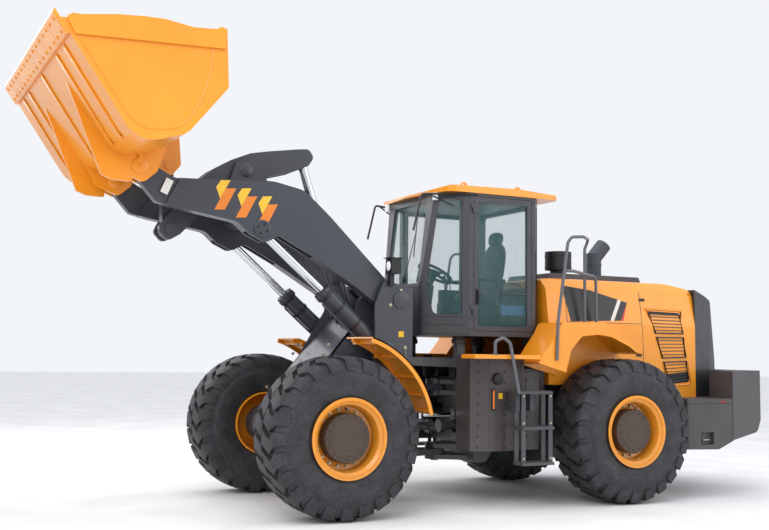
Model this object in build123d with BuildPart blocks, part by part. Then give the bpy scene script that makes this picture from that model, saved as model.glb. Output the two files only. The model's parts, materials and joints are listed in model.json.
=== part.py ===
"""Articulated wheel loader with a Z-bar linkage, boom raised and bucket racked back.

Millimetres. +X is forward, +Y the machine's left, +Z up, with the ground at Z = 0.
Places along the machine are measured from the articulation pivot, and pivot_x puts that
pivot where the whole machine is centred on X = 0.
"""
from build123d import *
from math import atan2, cos, degrees, hypot, radians, sin
import os

os.makedirs("parts", exist_ok=True)

# ---------------------------------------------------------------- driving dimensions
wheelbase = 3400.0
track = 2250.0
tyre_radius = 778.0
tyre_width = 595.0
rim_flange_radius = 385.0
rear_reach = 4060.0            # pivot to the back of the counterweight
joint_gap = 0.1                # radial clearance of a pin in its bore
seat_gap = 0.3                 # clearance of pieces that rest against each other

# boom
boom_pin = (800.0, 2140.0)     # x, z of the boom pivot
boom_length = 3011.0           # boom pivot to bucket pin
boom_angle = 23.07             # degrees above level
arm_y = 530.0                  # middle of an arm
arm_thickness = 150.0          # over the arm's two plates
arm_gap = 104.0                # between them, where the lift cylinder's eye sits
tip_thickness = 100.0          # of the arm's tip, between the bucket's lugs
arm_slot = 230.0               # between the two plates of a tower
tower_plate = 30.0
pivot_pin_radius = 45.0
boss_radius = 105.0
tip_boss_radius = 95.0

# linkage, along and square to the line from boom pivot to bucket pin
rocker_pin = (1947.0, 592.0)
lift_eye_pin = (1660.0, 7.0)
rocker_low_pin = (2395.0, -305.0)
rocker_top_pin = (1417.0, 1046.0)
cross_tube = (1690.0, 200.0)
cross_tube_radius = 120.0
ear_pin = (2681.0, 263.0)
rocker_inner = 75.0            # half gap between the rocker's cheeks
rocker_cheek = 50.0
link_gap = 6.0

# cylinders
lift_base = (950.0, 1620.0)
lift_bore_radius = 87.0
lift_rod_radius = 45.0
lift_barrel_length = 905.0
lift_retraction = 511.0        # boom from the pose drawn to its lowest
lift_base_pin = 40.0           # radius
tilt_base = (1080.0, 1800.0)
tilt_bore_radius = 105.0
tilt_rod_radius = 52.0
tilt_barrel_length = 1250.0
tilt_retraction = 345.0        # bucket from the pose drawn to fully dumped
tilt_base_pin = 45.0           # radius
tilt_bracket_y = 130.0         # middle of the plates that hold the base pin
tilt_eye_width = 190.0
steer_base = (-640.0, 490.0)   # x, y on the rear frame
steer_eye = (430.0, 420.0)     # x, y on the front frame
steer_z = 930.0
steer_bore_radius = 52.0
steer_rod_radius = 26.0
steer_barrel_length = 680.0
steer_retraction = 325.0       # straight ahead to full lock
steer_pin = 25.0               # radius

# bucket, along and square to its floor from the bucket pin
bucket_width = 3100.0
floor_angle = 55.6             # degrees above level, racked back
floor_drop = 180.0             # floor's underside below the pin
lip_reach = 1494.0
shell_thickness = 22.0
side_thickness = 20.0
cutter_thickness = 25.0
heel_radius = 396.0
heel_centre = (435.0, 216.0)

# cab
cab_floor_z = 1775.0
cab_top_z = 3320.0
cab_half_width = 780.0
cab_rear = -970.0
cab_wall = 55.0
door_front = -25.0
door_rear = -775.0
door_bottom = 1830.0
door_top = 3290.0
door_gap = 5.0
glass_thickness = 6.0

# places that several pieces share
rear_frame_y = 400.0           # middle of the rear frame's side plates
side_plate = 30.0
front_axle_x = wheelbase / 2
rear_axle_x = -wheelbase / 2
axle_z = tyre_radius
wheel_y = track / 2

machine_room = 6000.0          # longer than any piece

boom_tip = (boom_pin[0] + boom_length * cos(radians(boom_angle)),
            boom_pin[1] + boom_length * sin(radians(boom_angle)))
front_reach = (boom_tip[0] + lip_reach * cos(radians(floor_angle))
               + floor_drop * sin(radians(floor_angle)))
pivot_x = (rear_reach - front_reach) / 2


# ---------------------------------------------------------------- planes and helpers
def side(y):
    """Plane along the machine at y: its x is forward, its y is up."""
    return Plane(origin=(pivot_x, y, 0), x_dir=(1, 0, 0), z_dir=(0, -1, 0))


def level(z):
    """Level plane at z: its x is forward, its y is left."""
    return Plane(origin=(pivot_x, 0, z), x_dir=(1, 0, 0), z_dir=(0, 0, 1))


def station(x):
    """Plane across the machine at x: its x is left, its y is up."""
    return Plane(origin=(pivot_x + x, 0, 0), x_dir=(0, 1, 0), z_dir=(1, 0, 0))


def tilted(pin, angle, y):
    """Plane along the machine at y with its origin on a pin, its x turned up by angle."""
    turn = radians(angle)
    return Plane(origin=(pivot_x + pin[0], y, pin[1]),
                 x_dir=(cos(turn), 0, sin(turn)), z_dir=(0, -1, 0))


def along(start, end, y):
    """Plane at start, square to the line from start to end, both as (x, z) at y."""
    return Plane(origin=(pivot_x + start[0], y, start[1]), x_dir=(0, 1, 0),
                 z_dir=(end[0] - start[0], 0, end[1] - start[1]))


def machine_point(pin, angle, point):
    """(x, z) of a point given along and square to a line through pin."""
    turn = radians(angle)
    return (pin[0] + point[0] * cos(turn) - point[1] * sin(turn),
            pin[1] + point[0] * sin(turn) + point[1] * cos(turn))


def span(a, b):
    """Distance between two points."""
    return hypot(b[0] - a[0], b[1] - a[1])


def plate(plane, corners, thickness, mode=Mode.ADD, both=True):
    """Flat plate from (u, v, corner radius) rows, centred on its plane."""
    with BuildSketch(plane) as outline:
        with BuildLine():
            FilletPolyline([(u, v) for u, v, r in corners],
                           radius=[r for u, v, r in corners], close=True)
        make_face()
    extrude(outline.sketch, amount=thickness / 2 if both else thickness, both=both, mode=mode)


def disc(plane, centre, radius, thickness, mode=Mode.ADD, both=True):
    """Round plate or bore, centred on its plane."""
    with BuildSketch(plane) as outline:
        with Locations(centre):
            Circle(radius)
    extrude(outline.sketch, amount=thickness / 2 if both else thickness, both=both, mode=mode)


def block(x, y, z, mode=Mode.ADD):
    """Box from its (low, high) pairs, x from the articulation pivot."""
    with BuildSketch(level(z[0])) as outline:
        with Locations(((x[0] + x[1]) / 2, (y[0] + y[1]) / 2)):
            Rectangle(x[1] - x[0], y[1] - y[0])
    extrude(outline.sketch, amount=z[1] - z[0], mode=mode)


def crossed(first_plane, first, second_plane, second, inset=0.0):
    """Solid with the first outline seen square to one plane and the second to the other."""
    for plane, corners, mode in ((first_plane, first, Mode.ADD),
                                 (second_plane, second, Mode.INTERSECT)):
        with BuildSketch(plane) as view:
            with BuildLine():
                FilletPolyline([(u, v) for u, v, r in corners],
                               radius=[r for u, v, r in corners], close=True)
            make_face()
            if inset:
                offset(amount=-inset, kind=Kind.INTERSECTION)
        extrude(view.sketch, amount=machine_room, both=True, mode=mode)


def bent_bar(route, bend, radius):
    """Bent round bar along (x, y, z) places, with its bends at one radius, or one straight."""
    places = [(pivot_x + x, y, z) for x, y, z in route]
    with BuildLine() as path:
        if bend:
            FilletPolyline(places, radius=bend)
        else:
            Polyline(places)
    with BuildSketch(Plane(path.line @ 0, z_dir=path.line % 0)) as section:
        Circle(radius)
    sweep(section.sketch, path=path.line)


def finish(piece, name):
    """Label a finished piece and write its STEP file."""
    piece.part.label = name
    export_step(piece.part, f"parts/{name}.step")


rocker_pin_at = machine_point(boom_pin, boom_angle, rocker_pin)
rocker_low_at = machine_point(boom_pin, boom_angle, rocker_low_pin)
rocker_top_at = machine_point(boom_pin, boom_angle, rocker_top_pin)
lift_eye_at = machine_point(boom_pin, boom_angle, lift_eye_pin)
ear_at = machine_point(boom_pin, boom_angle, ear_pin)
rocker_angle = degrees(atan2(rocker_low_at[1] - rocker_pin_at[1],
                             rocker_low_at[0] - rocker_pin_at[0]))
cheek_y = rocker_inner + rocker_cheek / 2
cheek_outer = rocker_inner + rocker_cheek
bracket_y = cheek_outer + 12 + 20          # middle of the boom's rocker brackets
lug_y = tip_thickness / 2 + 25             # bucket lugs, from the middle of an arm

# ---------------------------------------------------------------- boom
arm_outline = [  # along, up, corner radius
    (3065, 70, 40), (2950, 85, 40), (2660, 60, 150), (2431, 167, 200), (1752, 499, 400),
    (1412, 570, 250), (1037, 449, 200), (60, 80, 60), (-95, 60, 50), (-95, -75, 50),
    (120, -160, 60), (463, -87, 200), (1065, -5, 200), (1470, 25, 60),
    (1570, -105, 90), (1760, -100, 90), (1925, -44, 150), (2517, -189, 150),
    (2724, -232, 60), (2955, -125, 40), (3080, -60, 40)]
tip_start = 2650.0
cylinder_room = [  # along, up, corner radius: between the plates, where the lift rod swings
    (1045, -260, 0), (1045, 15, 0), (1545, 250, 60), (1800, 250, 60), (1800, -260, 0)]
bracket_outline = [
    (1990, 720, 60), (1890, 735, 60), (1590, 520, 80), (1560, 150, 40), (1830, 120, 40),
    (2060, 420, 60), (2080, 620, 60)]

with BuildPart() as boom:
    arm_plane = tilted(boom_pin, boom_angle, arm_y)
    plate(arm_plane, arm_outline, arm_thickness)
    plate(arm_plane, cylinder_room, arm_gap, Mode.SUBTRACT)
    for sign in (1, -1):
        step_y = arm_y + sign * (arm_thickness + tip_thickness) / 4
        plate(tilted(boom_pin, boom_angle, step_y),
              [(tip_start, -400, 0), (3200, -400, 0), (3200, 400, 0), (tip_start - 60, 400, 0)],
              (arm_thickness - tip_thickness) / 2, Mode.SUBTRACT)
    boss_width = arm_slot - 2 * 5
    disc(arm_plane, (0, 0), boss_radius, boss_width)
    disc(arm_plane, (boom_length, 0), tip_boss_radius, tip_thickness)
    disc(arm_plane, (0, 0), pivot_pin_radius + joint_gap, arm_slot, Mode.SUBTRACT)
    disc(arm_plane, (boom_length, 0), pivot_pin_radius + joint_gap, arm_slot, Mode.SUBTRACT)
    mirror(about=Plane.XZ)
    middle = tilted(boom_pin, boom_angle, 0)
    disc(middle, cross_tube, cross_tube_radius, 2 * arm_y - arm_thickness)
    bracket_plane = tilted(boom_pin, boom_angle, bracket_y)
    with BuildSketch(bracket_plane, tilted(boom_pin, boom_angle, -bracket_y)):
        with BuildLine():
            FilletPolyline([(u, v) for u, v, r in bracket_outline],
                           radius=[r for u, v, r in bracket_outline], close=True)
        make_face()
        with Locations(rocker_pin):
            Circle(pivot_pin_radius + joint_gap, mode=Mode.SUBTRACT)
    extrude(amount=20, both=True)
finish(boom, "boom")

# ---------------------------------------------------------------- rocker and link
rocker_reach = span(rocker_pin_at, rocker_low_at)
rocker_outline = [
    (476, 215, 150), (275, 214, 150), (46, 175, 150), (-169, 109, 150), (-353, 5, 150),
    (-640, -170, 60), (-735, -235, 60), (-730, -340, 60), (-620, -375, 60),
    (-430, -320, 100), (-166, -197, 150), (150, -130, 150), (600, -60, 150),
    (960, -105, 60), (1110, -80, 60), (1115, 70, 60), (960, 120, 100), (700, 150, 150)]

cap_radius = 60.0
cap_height = 16.0
with BuildPart() as rocker:
    with BuildSketch(tilted(rocker_pin_at, rocker_angle, cheek_y),
                     tilted(rocker_pin_at, rocker_angle, -cheek_y)):
        with BuildLine():
            FilletPolyline([(u, v) for u, v, r in rocker_outline],
                           radius=[r for u, v, r in rocker_outline], close=True)
        make_face()
    extrude(amount=rocker_cheek / 2, both=True)
    hub_plane = tilted(rocker_pin_at, rocker_angle, 0)
    disc(hub_plane, (0, 0), 110, 2 * cheek_outer)
    disc(hub_plane, (0, 0), pivot_pin_radius, 2 * (bracket_y + 20))
    # pin caps on the outer faces of the low end
    for sign in (1, -1):
        disc(tilted(rocker_pin_at, rocker_angle, sign * (cheek_y + cap_height / 2)),
             (rocker_reach, 0), cap_radius, rocker_cheek + cap_height - 2)
finish(rocker, "rocker")

link_half = rocker_inner - link_gap
ear_pin_radius = 45.0
with BuildPart() as link:
    link_length = span(rocker_low_at, ear_at)
    link_angle = degrees(atan2(ear_at[1] - rocker_low_at[1], ear_at[0] - rocker_low_at[0]))
    link_plane = tilted(rocker_low_at, link_angle, 0)
    with BuildSketch(link_plane):
        Rectangle(link_length, 130, align=(Align.MIN, Align.CENTER))
    extrude(amount=link_half - 12, both=True)
    disc(link_plane, (0, 0), 95, 2 * link_half)
    disc(link_plane, (link_length, 0), 95, 2 * link_half)
    disc(link_plane, (link_length, 0), ear_pin_radius + joint_gap, 2 * link_half, Mode.SUBTRACT)
finish(link, "link")

# ---------------------------------------------------------------- bucket
shell_corners = [(1400, -floor_drop, 0), (165, -floor_drop, heel_radius * 0.72),
                 (41, 216, 80), (41, 290, 80), (200, 815, 40), (655, 1090, 0)]
cutter_outline = [
    (1384, -134, 20), (1378, -72, 10), (1332, -3, 20), (1210, 252, 200), (1088, 465, 200),
    (982, 624, 200), (712, 918, 10), (699, 1048, 10), (656, 1085, 10), (605, 1033, 10),
    (510, 977, 10), (1220, -150, 20)]

with BuildPart() as bucket:
    bucket_plane = tilted(boom_tip, floor_angle, 0)
    outer_half = bucket_width / 2 - cutter_thickness
    plate(bucket_plane, shell_corners, 2 * outer_half)
    # lugs for the arms and the link
    for y in (arm_y + lug_y, arm_y - lug_y, -arm_y + lug_y, -arm_y - lug_y):
        plate(tilted(boom_tip, floor_angle, y),
              [(-150, -60, 60), (-130, 110, 60), (150, 480, 0), (500, 200, 0),
               (300, -170, 0), (60, -200, 40)], 40)
    for y in (arm_y + lug_y, -arm_y - lug_y):
        plate(tilted(boom_tip, floor_angle, y),
              [(1050, -170, 0), (260, -330, 20), (110, -365, 20), (20, -300, 20),
               (-90, -150, 20), (200, 0, 0), (900, -100, 0)], 40)
        plate(tilted(boom_tip, floor_angle, y),
              [(620, -262, 0), (262, -332, 20), (108, -368, 20), (105, -340, 0),
               (256, -304, 0), (620, -235, 0)], 40)
    ear_local = (cos(radians(boom_angle - floor_angle)), sin(radians(boom_angle - floor_angle)))
    ear_u = (ear_pin[0] - boom_length) * ear_local[0] - ear_pin[1] * ear_local[1]
    ear_v = (ear_pin[0] - boom_length) * ear_local[1] + ear_pin[1] * ear_local[0]
    for y in (cheek_y + 5, -cheek_y - 5):
        plate(tilted(boom_tip, floor_angle, y),
              [(ear_u - 110, ear_v - 60, 60), (ear_u - 60, ear_v + 110, 60), (150, 700, 0),
               (300, 500, 0), (150, 130, 0), (ear_u + 60, ear_v - 110, 60)], rocker_cheek)
    # room inside, between the side plates
    plate(bucket_plane,
          [(1400 + 400, -floor_drop + shell_thickness, 0),
           (178, -floor_drop + shell_thickness, heel_radius * 0.68),
           (41 + shell_thickness, 218, 60), (41 + shell_thickness, 286, 60),
           (198 + shell_thickness, 800, 30), (1000, 1290, 0)], 2 * (outer_half - side_thickness), Mode.SUBTRACT)
    # side cutters
    for y in (outer_half + cutter_thickness / 2, -outer_half - cutter_thickness / 2):
        plate(tilted(boom_tip, floor_angle, y), cutter_outline, cutter_thickness)
    # bores for the bucket pins
    for y in (arm_y + lug_y, arm_y - lug_y, -arm_y + lug_y, -arm_y - lug_y):
        disc(tilted(boom_tip, floor_angle, y), (0, 0), pivot_pin_radius, 40)
    for y in (arm_y, -arm_y):
        disc(tilted(boom_tip, floor_angle, y), (0, 0), pivot_pin_radius, 2 * lug_y + 60)
    disc(bucket_plane, (ear_u, ear_v), ear_pin_radius, 2 * cheek_outer + 30)
finish(bucket, "bucket")

with BuildPart() as cutting_edge:
    plate(bucket_plane,
          [(1250, -floor_drop - seat_gap, 0), (1400, -floor_drop - seat_gap, 0),
           (lip_reach, -floor_drop - 2, 0), (1470, -floor_drop - 30, 0),
           (1250, -floor_drop - 30, 0)], bucket_width - 40)
finish(cutting_edge, "cutting_edge")


# ---------------------------------------------------------------- cylinders
gland_step = 12.0
gland_length = 70.0
bore_start = 110.0             # base pin to the near end of a barrel's bore
rod_eye_radius = 86.0


def cylinder(name, base, eye, y, bore_radius, rod_radius, barrel_length, retraction,
             base_width, base_pin, eye_width):
    """Barrel with its bored base eye, and rod with its own eye, from base to eye at y."""
    length = span(base, eye)
    unit = ((eye[0] - base[0]) / length, (eye[1] - base[1]) / length)
    angle = degrees(atan2(unit[1], unit[0]))
    rod_start = bore_start + retraction + 10

    def from_base(distance):
        return (base[0] + unit[0] * distance, base[1] + unit[1] * distance)

    with BuildPart() as barrel:
        with BuildSketch(along(base, eye, y)):
            Circle(bore_radius)
        extrude(amount=barrel_length)
        with BuildSketch(along(from_base(barrel_length), eye, y)):
            Circle(bore_radius + gland_step)
        extrude(amount=-gland_length)
        eye_plane = tilted(base, angle, y)
        disc(eye_plane, (0, 0), bore_radius, base_width)
        with BuildSketch(along(from_base(bore_start), eye, y)):
            Circle(rod_radius + joint_gap)
        extrude(amount=barrel_length, mode=Mode.SUBTRACT)
        disc(eye_plane, (0, 0), base_pin + joint_gap, base_width + 2 * bore_radius, Mode.SUBTRACT)
    finish(barrel, name + "_barrel")
    with BuildPart() as rod:
        with BuildSketch(along(from_base(rod_start), eye, y)):
            Circle(rod_radius)
        extrude(amount=length - rod_start - rod_radius)
        disc(tilted(eye, angle, y), (0, 0), rod_eye_radius, eye_width)
    finish(rod, name + "_rod")


for label, sign in (("left", 1), ("right", -1)):
    cylinder("lift_" + label, lift_base, lift_eye_at, sign * arm_y, lift_bore_radius,
             lift_rod_radius, lift_barrel_length, lift_retraction, 200, lift_base_pin,
             arm_gap - 2 * 4)
cylinder("tilt", tilt_base, rocker_top_at, 0, tilt_bore_radius, tilt_rod_radius,
         tilt_barrel_length, tilt_retraction, tilt_eye_width, tilt_base_pin, 2 * link_half)

steer_neck = 66.0              # base pin to the barrel's end
steer_bore_start = 90.0
steer_eye_radius = 48.0
steer_eye_height = 80.0
base = (pivot_x + steer_base[0], steer_base[1])
eye = (pivot_x + steer_eye[0], steer_eye[1])
steer_length = span(base, eye)
steer_unit = ((eye[0] - base[0]) / steer_length, (eye[1] - base[1]) / steer_length)
steer_rod_start = steer_bore_start + steer_retraction + 10


def across(distance):
    """Plane square to the left steering cylinder, at a distance from its base pin."""
    return Plane(origin=(base[0] + steer_unit[0] * distance, base[1] + steer_unit[1] * distance,
                         steer_z), z_dir=(steer_unit[0], steer_unit[1], 0))


def pin_plane(place):
    return Plane(origin=(place[0], place[1], steer_z))


with BuildPart() as steer_left_barrel:
    for start, end, radius in ((0, steer_neck + 5, steer_eye_height / 2),
                               (steer_neck, steer_barrel_length, steer_bore_radius),
                               (steer_barrel_length - gland_length, steer_barrel_length,
                                steer_bore_radius + gland_step)):
        with BuildSketch(across(start)) as section:
            Circle(radius)
        extrude(section.sketch, amount=end - start)
    disc(pin_plane(base), (0, 0), steer_eye_radius, steer_eye_height)
    with BuildSketch(across(steer_bore_start)) as section:
        Circle(steer_rod_radius + joint_gap)
    extrude(section.sketch, amount=steer_barrel_length, mode=Mode.SUBTRACT)
    disc(pin_plane(base), (0, 0), steer_pin + joint_gap, 2 * steer_eye_height, Mode.SUBTRACT)
finish(steer_left_barrel, "steer_left_barrel")

with BuildPart() as steer_left_rod:
    with BuildSketch(across(steer_rod_start)) as section:
        Circle(steer_rod_radius)
    extrude(section.sketch, amount=steer_length - steer_rod_start - steer_rod_radius)
    disc(pin_plane(eye), (0, 0), steer_eye_radius, steer_eye_height)
finish(steer_left_rod, "steer_left_rod")

with BuildPart() as steer_right_barrel:
    add(mirror(steer_left_barrel.part, about=Plane.XZ))
finish(steer_right_barrel, "steer_right_barrel")
with BuildPart() as steer_right_rod:
    add(mirror(steer_left_rod.part, about=Plane.XZ))
finish(steer_right_rod, "steer_right_rod")

# ---------------------------------------------------------------- front frame
slot_inner = arm_y - arm_slot / 2
slot_outer = arm_y + arm_slot / 2
inner_plate_y = slot_inner - tower_plate / 2
outer_plate_y = slot_outer + tower_plate / 2
tower_back = 655.0
front_frame_rear = 560.0
lug_z = {"low": 500.0, "high": 1210.0}     # middle of the front frame's hinge lugs
lug_thickness = 60.0
lug_radius = 110.0
hinge_pin_radius = 45.0
axle_pad_z = axle_z + 150

inner_outline = [
    (985, 2335, 30), (1040, 2225, 60), (1180, 2130, 100), (1478, 1930, 60), (1604, 1740, 80),
    (1915, 1370, 80), (2150, 1120, 60), (2150, axle_pad_z, 20), (1400, axle_pad_z, 60),
    (1250, 640, 120), (900, 520, 60), (front_frame_rear, 440, 20),
    (front_frame_rear, 1610, 60), (tower_back, 1745, 60), (tower_back, 2265, 40)]
outer_outline = [
    (985, 2335, 30), (1040, 2225, 60), (1090, 2080, 60), (1090, 1300, 60), (1250, 1180, 60),
    (1250, 1060, 20), (tower_back, 1060, 20), (tower_back, 2265, 40)]
shaft_z = axle_z
shaft_hole = 85.0

with BuildPart() as front_frame:
    plate(side(inner_plate_y), inner_outline, tower_plate)
    plate(side(outer_plate_y), outer_outline, tower_plate)
    # closing plates behind and below the slot
    block((tower_back, tower_back + 25), (slot_inner - 1, slot_outer + 1), (1060, 2150))
    block((tower_back, 1250), (slot_inner - 1, slot_outer + 1), (1060, 1085))
    # boom pivot and lift cylinder bosses
    for y in (inner_plate_y, outer_plate_y):
        disc(side(y), boom_pin, 130, tower_plate + 2 * 5 - 1)
        disc(side(y), lift_base, 110, tower_plate + 2 * 5 - 1)
    disc(side(arm_y), boom_pin, pivot_pin_radius, arm_slot + 2 * tower_plate + 40)
    disc(side(arm_y), lift_base, lift_base_pin, arm_slot + 2 * tower_plate + 20)
    mirror(about=Plane.XZ)
    # plates across between the inner plates
    half = inner_plate_y
    block((front_frame_rear, front_frame_rear + 30), (-half, half), (440, 1330))
    disc(station(front_frame_rear + 15), (0, shaft_z), shaft_hole, 40, Mode.SUBTRACT)
    block((tower_back, tower_back + 25), (-half, half), (1500, 2200))
    block((2120, 2150), (-half, half), (axle_pad_z, 1120))
    block((front_frame_rear, 1000), (-half, half), (520, 545))
    plate(side(0), [(2150, 1120, 0), (1915, 1370, 0), (1640, 1697, 0), (1620, 1680, 0),
                    (1895, 1353, 0), (2130, 1103, 0)], 2 * half)
    block((1000, 1640), (-half, half), (1340, 1365))
    # bracket for the tilt cylinder
    disc(side(0), (1050, 1480), 120, 2 * half)
    for y in (-tilt_bracket_y, tilt_bracket_y):
        plate(side(y), [(1080, 1920, 100), (1200, 1800, 100), (1330, 1365, 0), (900, 1365, 0),
                        (960, 1800, 100)], 35)
    disc(side(0), tilt_base, tilt_base_pin, 2 * tilt_bracket_y + 40)
    # hinge lugs at the articulation pivot
    for z in lug_z.values():
        with BuildSketch(level(z)) as lug:
            with BuildLine():
                Polyline((0, lug_radius), (front_frame_rear + 5, 300),
                         (front_frame_rear + 5, -300), (0, -lug_radius), close=True)
            make_face()
            Circle(lug_radius)
            Circle(hinge_pin_radius + joint_gap, mode=Mode.SUBTRACT)
        extrude(lug.sketch, amount=lug_thickness / 2, both=True)
    # steering brackets
    for sign in (1, -1):
        for z in (steer_z + 60, steer_z - 60):
            with BuildSketch(level(z)) as bracket:
                with Locations((steer_eye[0], sign * steer_eye[1])):
                    Circle(65)
                with Locations(((steer_eye[0] + front_frame_rear + 20) / 2,
                                sign * steer_eye[1])):
                    Rectangle(front_frame_rear + 20 - steer_eye[0], 130)
            extrude(bracket.sketch, amount=15, both=True)
finish(front_frame, "front_frame")


# ---------------------------------------------------------------- axles and drive line
hub_face_y = wheel_y - 130
bearing_z = axle_pad_z + 60                # rear axle's trunnion line
axle_nose = 330.0
trunnion_radius = 70.0
shaft_radius = 45.0
bearing_plate = 30.0
axle_profile = [  # out along the axle, radius
    (0, 0), (0, 235), (120, 220), (230, 150), (560, 120), (700, 125), (760, 190),
    (hub_face_y - 40, 200), (hub_face_y - 40, 140), (wheel_y - seat_gap, 120),
    (wheel_y - seat_gap, 0)]

for name, axle_x, facing in (("front_axle", front_axle_x, -1), ("rear_axle", rear_axle_x, 1)):
    with BuildPart() as axle:
        with BuildSketch(Plane(origin=(pivot_x + axle_x, 0, axle_z), x_dir=(0, 1, 0),
                               z_dir=(1, 0, 0))) as tube:
            with BuildLine():
                Polyline(axle_profile, close=True)
            make_face()
        revolve(tube.sketch, axis=Axis((pivot_x + axle_x, 0, axle_z), (0, 1, 0)))
        pad_half = 40 if facing < 0 else 20
        block((axle_x - 110, axle_x + 110), (inner_plate_y - pad_half, inner_plate_y + pad_half),
              (axle_z, axle_pad_z - seat_gap))
        mirror(about=Plane.XZ)
        with BuildSketch(station(axle_x)) as nose:
            with Locations((0, axle_z)):
                Circle(90)
        extrude(nose.sketch, amount=facing * axle_nose)
        if facing > 0:
            block((axle_x - 250, axle_x + 250), (-inner_plate_y + 25, inner_plate_y - 25),
                  (axle_pad_z - 40, axle_pad_z + 5))
            disc(station(axle_x), (0, bearing_z), trunnion_radius,
                 2 * (axle_nose + seat_gap + bearing_plate - 5))
    finish(axle, name)

gearbox_front = -420.0
drop_box_rear = -760.0
shafts = {  # lengths of each shaft from its rear end to its front end
    "front_shaft": [(45, front_axle_x - axle_nose - seat_gap)],
    "rear_shafts": [(gearbox_front + seat_gap, -45),
                    (rear_axle_x + axle_nose + seat_gap, drop_box_rear - seat_gap)]}
for name, lengths in shafts.items():
    with BuildPart() as shaft:
        for start, end in lengths:
            for x, radius, length in ((start, shaft_radius, end - start), (start, 75, 60),
                                      (end - 60, 75, 60)):
                with BuildSketch(station(x)) as section:
                    with Locations((0, shaft_z)):
                        Circle(radius)
                extrude(section.sketch, amount=length)
    finish(shaft, name)

# ---------------------------------------------------------------- wheels
tyre_half = tyre_width / 2
tyre_profile = [  # out from the middle, radius
    (-235, 348), (-285, 400), (-tyre_half, 560), (-285, 690), (-250, tyre_radius - 12),
    (0, tyre_radius), (250, tyre_radius - 12), (285, 690), (tyre_half, 560), (285, 400),
    (235, 348)]
rim_bead_radius = 348 - seat_gap
for label, wheel_x, sign in (("front_left", front_axle_x, 1), ("front_right", front_axle_x, -1),
                             ("rear_left", rear_axle_x, 1), ("rear_right", rear_axle_x, -1)):
    hub_plane = Plane(origin=(pivot_x + wheel_x, sign * wheel_y, axle_z),
                      x_dir=(0, sign, 0), z_dir=(sign, 0, 0))
    spin_axis = Axis((pivot_x + wheel_x, 0, axle_z), (0, 1, 0))
    with BuildPart() as tyre:
        with BuildSketch(hub_plane) as section:
            with BuildLine():
                Polyline(tyre_profile, close=True)
            make_face()
        revolve(section.sketch, axis=spin_axis)
    finish(tyre, "tyre_" + label)
    with BuildPart() as wheel:
        with BuildSketch(hub_plane) as section:
            with BuildLine():
                Polyline([(-268, 330), (-268, rim_bead_radius), (235, rim_bead_radius),
                          (287, 372), (287, rim_flange_radius), (300, rim_flange_radius),
                          (300, 365), (262, 318), (120, 300), (105, 230), (235, 215),
                          (250, 60), (250, 0), (0, 0), (0, 122), (-5, 210), (60, 305),
                          (60, 330)], close=True)
            make_face()
        revolve(section.sketch, axis=spin_axis)
    finish(wheel, "wheel_" + label)

# ---------------------------------------------------------------- front fenders
fender_radius = 975.0
fender_sheet = 15.0
with BuildPart() as front_fenders:
    fender_mid = (outer_plate_y + tower_plate / 2 + seat_gap + 1400) / 2
    fender_half = 1400 - fender_mid
    with BuildSketch(side(fender_mid)) as band:
        with BuildLine():
            arc = CenterArc((front_axle_x, axle_z), fender_radius, 88, 80)
            inner_arc = CenterArc((front_axle_x, axle_z), fender_radius - fender_sheet, 88, 80)
            Line(arc @ 0, inner_arc @ 0)
            Line(arc @ 1, inner_arc @ 1)
        make_face()
    extrude(band.sketch, amount=fender_half, both=True)
    for y in (fender_mid + fender_half - 10, fender_mid):
        with BuildSketch(side(y)) as rib:
            with BuildLine():
                arc = CenterArc((front_axle_x, axle_z), fender_radius - 5, 88, 80)
                inner_arc = CenterArc((front_axle_x, axle_z), fender_radius - 50, 88, 80)
                Line(arc @ 0, inner_arc @ 0)
                Line(arc @ 1, inner_arc @ 1)
            make_face()
        extrude(rib.sketch, amount=8, both=True)
    mirror(about=Plane.XZ)
finish(front_fenders, "front_fenders")

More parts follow.
